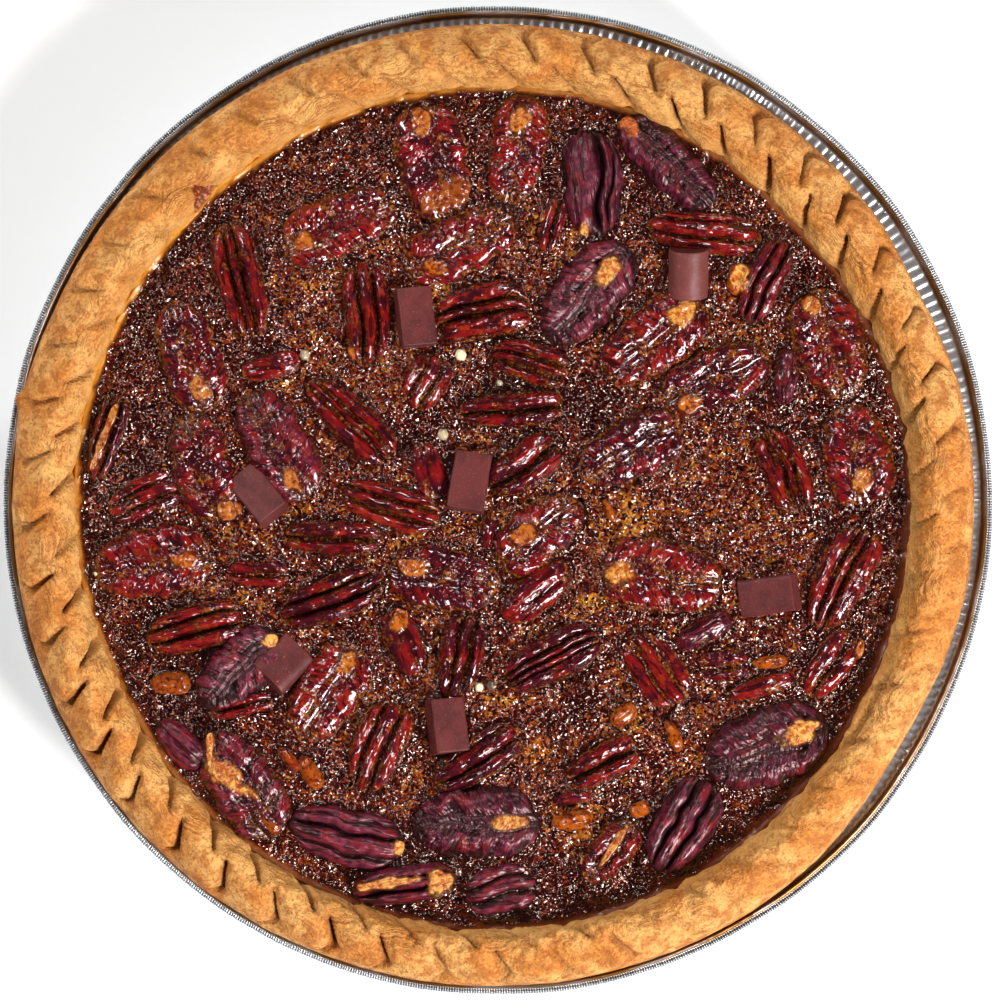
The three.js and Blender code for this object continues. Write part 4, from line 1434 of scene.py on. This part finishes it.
@dataclass
class Bubbles:
    """Small glassy bubbles and grains of sugar on the skin of the filling, and a few large blisters."""

    filling: Filling
    name: str
    count: int = 9400
    seed: int = 71
    least: float = 0.2
    spread: float = 0.38
    # Smooth large blisters: x, y, radius and how creamy each is.
    blisters: tuple[tuple[float, ...], ...] = (
        (-9.2, 35.9, 1.7, 1.0), (-4.7, -46.3, 1.3, 1.0), (-1.6, -46.0, 1.5, 0.1), (-6.4, -54.2, 1.9, 0.0),
        (-99.3, -18.1, 0.9, 0.9), (-47.8, 35.9, 1.5, 0.4), (-13.6, 16.2, 1.6, 0.5), (77.0, 5.4, 1.5, 0.0),
    )

    def build(self, material: Material, nuts: list[Nut], blocks: list["Block"]) -> Piece:
        """Scatters flattened twelve-cornered beads, each half sunk.

        Args:
            material: the set syrup.
            nuts: kept clear.
            blocks: kept clear.

        Returns:
            All the beads as one piece.
        """
        shape = self.filling.shape
        random = np.random.default_rng(self.seed)
        reach = np.sqrt(random.uniform(0, 1, 3 * self.count)) * (shape.inner_radius - 2.5)
        x, y, _ = (polar(reach, random.uniform(0, 2 * np.pi, 3 * self.count), 0) + [*shape.middle, 0]).T
        free = np.ones(len(x), bool)
        for nut in nuts:
            free &= nut.clearance(x, y) > -0.4
        for block in blocks:
            free &= block.clearance(x, y) > 0.4
        spare = self.count - len(self.blisters)
        x, y = x[free][:spare], y[free][:spare]
        size = self.least + self.spread * random.uniform(0, 1, len(x)) ** 2.2
        large = np.array(self.blisters)
        x, y = np.append(x, large[:, 0]), np.append(y, large[:, 1])
        size = np.append(size, large[:, 2])
        z = shape.surface(x, y) + self.filling.relief(x, y, nuts)
        cream = np.append(np.zeros(spare), large[:, 3])
        corners, faces = self.bead()
        scale = stacked(size, size, size * np.where(size > 0.6, 0.6, 0.85))[:, None]
        points = corners * scale + stacked(x, y, z + 0.1 * size)[:, None]
        triangles = faces + len(corners) * np.arange(len(x))[:, None, None]
        blank = np.zeros(len(corners) * len(x))
        fields = {"caramel": blank, "burnt": blank, "gold": blank, "cream": np.repeat(cream, len(corners))}
        sheet = Sheet(points.reshape(-1, 3), np.zeros((0, 4), int), triangles.reshape(-1, 3), fields)
        return sheet.show(self.name, material, Slot.FILLING)

    def bead(self) -> tuple[Array, Array]:
        """An icosahedron of radius 1: corners (0, +-1, +-golden ratio) and their turns, scaled.

        Returns:
            Its 12 corners and its 20 faces, each pointing outwards.
        """
        golden = (1 + math.sqrt(5)) / 2
        few = np.array([(0, a, b * golden) for a in (-1, 1) for b in (-1, 1)])
        corners = np.concatenate([np.roll(few, k, axis=1) for k in range(3)]) / math.hypot(1, golden)
        near = np.sqrt(((corners[:, None] - corners[None]) ** 2).sum(-1)) < 1.2
        faces = np.array([
            (i, j, k) for i in range(12) for j in range(i + 1, 12) for k in range(j + 1, 12)
            if near[i, j] and near[j, k] and near[i, k]
        ])
        first, second, third = corners[faces.T]
        inward = (np.cross(second - first, third - first) * first).sum(-1) < 0
        faces[inward] = faces[inward][:, ::-1]
        return corners, faces


# ------------------------------------------------------------------------ chocolate


@dataclass(frozen=True)
class Block(Placed):
    """A broken-off block of chocolate, leaning as it landed."""

    lean: float  # lifts the end that the heading points to
    roll: float  # lifts the side on its left
    number: int
    rod: bool = False
    shoulder: bool = False  # its top bends down to the right
    thickness: float = 5.6
    sunk: float = 1.7
    rod_sunk: float = 3.2
    corner: float = 0.35
    around: int = 96

    def clearance(self, x: Array, y: Array) -> Array:
        """How far outside the block's outline a place is."""
        u, v = self.local(x, y)
        return np.maximum(np.abs(u) - self.length / 2, np.abs(v) - self.width / 2)

    def build(self, shape: PieShape, material: Material) -> Piece:
        """A rounded rectangle carried along the block's length, smaller at both ends.

        The section is |y / half width|^n + |z / half height|^n = 1 with n = 12, or 2 round a rod and
        2.6 over a shoulder.

        Args:
            shape: what the block lies on.
            material: the chocolate.

        Returns:
            The block.
        """
        b = turns(self.around)
        power = np.full(self.around, 2.0 if self.rod else 12.0)
        if self.shoulder:
            power = np.where((np.sin(b) > 0) & (np.cos(b) < 0), 2.6, power)
        reach = (np.abs(np.cos(b)) ** power + np.abs(np.sin(b)) ** power) ** (-1 / power)
        half = np.array([self.width, self.width if self.rod else self.thickness]) / 2
        section = polar(reach, b, 0)[:, :2] * half
        t = np.linspace(0, np.pi / 2, 7)
        tip = self.length / 2
        rounded = np.concatenate([tip - self.corner * (1 - np.sin(t)), np.full(3, tip)])
        inset = np.concatenate([self.corner * (1 - np.cos(t)), np.full(3, self.corner)])
        middle = np.linspace(-1, 1, 15)[1:-1] * (tip - self.corner)
        u = np.concatenate([-rounded[::-1], middle, rounded])
        shrink = np.concatenate([inset[::-1], 0 * middle, inset])
        cap = np.array([0.25, 0.6, 0.85])
        scale = np.concatenate([cap, np.ones(len(u) - 6), cap[::-1]])
        sections = section * (1 - shrink[:, None, None] / half) * scale[:, None, None]
        along = u[:, None]
        hollow = 0.4 * self.rod * (along > 0) * (1 - scale)[:, None]
        local = stacked(along - hollow, sections[..., 0], sections[..., 1])
        soft = 0.12 * lumps(local, 5, 90 + self.number, 2) + 0.05 * lumps(local, 1.5, 95 + self.number)
        local[..., 1:] += soft[..., None] * np.sign(local[..., 1:]) * [0.6, 1]
        ends = [self.to_pie(shape, np.array([end, 0.0, 0.0])) for end in (-tip, tip)]
        # the raised end face of the rod, which the finish paints in shade
        dark = self.rod * (along > tip - 0.1)
        sheet = Sheet.rings(self.to_pie(shape, local), *ends, end=dark.astype(float), dusty=float(self.rod))
        return sheet.show(f"cocoa_block_{self.number}", material, Slot.CHOCOLATE, f"chocolate_{self.number}")

    def to_pie(self, shape: PieShape, local: Array) -> Array:
        """Turns the block's own coordinates by its roll, lean and heading, and puts it down."""
        roll, lean, turn = (math.radians(a) for a in (-self.roll, -self.lean, self.heading))
        x, y, z = local[..., 0], local[..., 1], local[..., 2]
        y, z = y * math.cos(roll) - z * math.sin(roll), y * math.sin(roll) + z * math.cos(roll)
        x, z = x * math.cos(lean) + z * math.sin(lean), z * math.cos(lean) - x * math.sin(lean)
        x, y = x * math.cos(turn) - y * math.sin(turn), x * math.sin(turn) + y * math.cos(turn)
        stand = self.width / 2 - self.rod_sunk if self.rod else self.thickness / 2 - self.sunk
        return stacked(x + self.x, y + self.y, z + shape.surface(self.x, self.y) + stand)


BLOCKS = [
    Block(-20.5, 45.1, 14.6, 8.9, 97, -8, -14, 1),
    Block(47.1, 56.3, 12.2, 9.9, 90, 15.4, 0, 2, rod=True),
    Block(-59.2, 1.2, 13.9, 8.6, -51.5, 21, 0, 3),
    Block(-7, 4.4, 14.4, 9.2, 80.5, -9, 3, 4),
    Block(67.1, -23.6, 14.2, 9.2, 8, 21, 0, 5),
    Block(-53.1, -40.7, 11.6, 10.1, 45, -15, 6, 6, shoulder=True),
    Block(-12.6, -55.9, 13.4, 8.7, 97, -5, -20, 7),
]

# x, y, length, width, heading, how pale, how high and how strong.
SPOTS = [Spot(*row) for row in (
    (-73.6, 26.8, 6.8, 4.4, -73, 0.3), (-48.1, 63.9, 6.4, 4.6, 202, 0.15), (-19.1, 93.6, 6.4, 5, 102, 0.15),
    (5.7, 94.4, 7.6, 5.4, 82, 0.4), (32.2, 92.9, 6.4, 4.6, 120, 0, 0.1), (-15.6, 57.5, 6.4, 4.2, -10, 0.1),
    (27.4, 56.9, 8, 4.4, 60, 0.9, 0.7), (-36.7, 35.2, 4.6, 3, 80, 0.1, 0.2), (-51.3, 5, 6.8, 4, -60, 0.25),
    (-67.1, -3, 6.6, 4.4, -60, 0.2), (-97.1, 16.6, 19, 1.9, 69, 0.35, 0.4),
    (45.1, 46.1, 7.6, 5.4, 30, 0.75), (77.8, 47.8, 6.6, 4.2, 125, 0.3), (47.6, 24, 6.4, 4.4, 30, 0.15),
    (89.9, 4.5, 7.4, 4.4, -75, 0.35), (-77.3, -14.9, 7.2, 4, 5, 0.1), (-56.5, -34.7, 4.2, 3.2, 42, 0.9),
    (-37.7, -40.4, 6.4, 4, 60, 0.25), (-24.5, -29.7, 7, 4.6, 65, 0.1), (-20.6, -16.8, 7.6, 4.6, 165, 0.15),
    (6, -8.4, 8, 5.2, 38, 0.15), (30, -18.3, 8, 5.2, 5, 0.65), (89.9, -36.7, 5, 2.6, 60, 0.1),
    (-71.3, -60.4, 10.5, 1.6, 88, 0.9), (-65.9, -69.9, 12.5, 2.4, -28, 0.9),
    (-24.5, -86.2, 3.4, 4, 60, 0.95), (3.4, -79.6, 9.6, 3.8, 5, 0.75), (-27, -94.6, 15.5, 2.6, 9, 0.8),
    (-14.4, -94.4, 7, 6.6, 60, 0.85), (28.5, -85.5, 12.5, 2.2, 58, 0.55), (20.1, -89.2, 3.4, 2, 60, 0.6),
    (74.3, -57.7, 9.8, 5.6, 25, 0.95, 0.9), (10.5, 70.5, 4, 2.4, 70, 0.1, 0.2),
    (21.3, 66.6, 5, 2.2, 80, 0.8, 0.2), (-13, 74.6, 13, 7, 25, 0.05, 0, 0.55),
    (59.6, 55, 6.5, 5, 80, 0.9, 0.3), (-68, -67.5, 9, 5, -30, 0.7, 0.2),
)]


# ------------------------------------------------------------------------ studio


@dataclass(frozen=True)
class Lamp:
    """A square soft light that looks at the pie."""

    name: str
    x: float
    y: float
    z: float
    size: float
    power: float
    mirrored: bool = True  # shows in glossy surfaces

    def build(self) -> None:
        """Adds the light; its place and size are in metres."""
        light = bpy.data.lights.new(self.name, "AREA")
        light.shape = "SQUARE"
        light.size = self.size
        light.energy = self.power
        made = linked(self.name, light)
        made.location = (self.x, self.y, self.z)
        made.visible_glossy = self.mirrored
        toward = Vector((0, 0, 0.03)) - made.location
        made.rotation_euler = toward.to_track_quat("-Z", "Y").to_euler()


@dataclass(frozen=True)
class Studio:
    """Plain pale floor, soft light and a camera straight above."""

    floor_size: float = 6.0
    camera_x: float = 0.0005
    camera_height: float = 2.4
    rim_height: float = 0.0317
    view_width: float = 0.2477
    sensor: float = 36.0

    def build(self, material: Material) -> None:
        """Makes the floor, the lights, the world and the camera.

        Args:
            material: the floor's finish.
        """
        mesh = bpy.data.meshes.new("floor")
        half = self.floor_size / 2
        corners = [(-half, -half, 0), (half, -half, 0), (half, half, 0), (-half, half, 0)]
        mesh.from_pydata(corners, [], [(0, 1, 2, 3)])
        mesh.materials.append(material)
        floor = linked("floor", mesh)

        world = bpy.data.worlds.new("soft_room")
        bpy.context.scene.world = world
        world.use_nodes = True
        background = world.node_tree.nodes["Background"]
        background.inputs["Color"].default_value = colour("#ece4dc")
        background.inputs["Strength"].default_value = 0.07

        for lamp in (
            Lamp("key", 0.95, -0.95, 1.05, 0.46, 50),
            Lamp("fill", -1.1, 0.9, 1.3, 1.3, 15, mirrored=False),
            Lamp("spark", 0.35, 1.3, 1.0, 0.22, 9),
            Lamp("left_spark", -1.1, 0.5, 1.1, 0.22, 9),
        ):
            lamp.build()

        camera = bpy.data.cameras.new("camera")
        camera.type = "PERSP"
        camera.sensor_width = self.sensor
        camera.lens = self.sensor * (self.camera_height - self.rim_height) / self.view_width
        made = linked("camera", camera)
        made.location = (self.camera_x, 0, self.camera_height)
        made.rotation_euler = (0, 0, 0)
        bpy.context.scene.camera = made
        bpy.context.scene.view_settings.view_transform = "Standard"


def main() -> None:
    """Builds the pie from the dish up, then the studio round it."""
    logging.basicConfig(level=logging.INFO, format="%(name)s: %(message)s")
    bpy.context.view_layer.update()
    shape = PieShape()
    nut_skin = NutSkin().material()
    set_syrup = SetSyrup().material()

    FoilDish().build(BrightFoil().material())
    log.info("foil dish")
    Crust(shape).build(BakedDough().material())
    log.info("crust")

    toppings = Toppings()
    halves = toppings.halves()
    bits = toppings.bits()
    filling = Filling(shape)
    filling.build(set_syrup, halves + bits, BLOCKS)
    log.info("filling")
    Bubbles(filling, "sugar_bubbles").build(set_syrup, halves + bits, BLOCKS)
    one_blister = ((0.4, 29.0, 0.9, 0.6),)
    grains = Bubbles(filling, "sugar_grains", seed=72, least=0.16, spread=0.24, blisters=one_blister)
    grains.build(set_syrup, halves + bits, BLOCKS)
    log.info("bubbles")

    maker = NutMaker(shape, SPOTS)
    for nut in halves:
        maker.sheet(nut).show(nut.name.replace("pecan", "nut"), nut_skin, Slot.PECAN, nut.name)
    log.info("%d halves", len(halves))
    cutter = NutMaker(shape, SPOTS, rows=40, columns=60)
    Sheet.joined([cutter.sheet(nut) for nut in bits]).show("nut_bits", nut_skin, Slot.PECAN)
    log.info("%d small pieces", len(bits))

    chocolate = PlainChocolate().material()
    for block in BLOCKS:
        block.build(shape, chocolate)
    log.info("%d blocks of chocolate", len(BLOCKS))

    Studio().build(PalePaper().material())


if __name__ == "__main__":
    main()
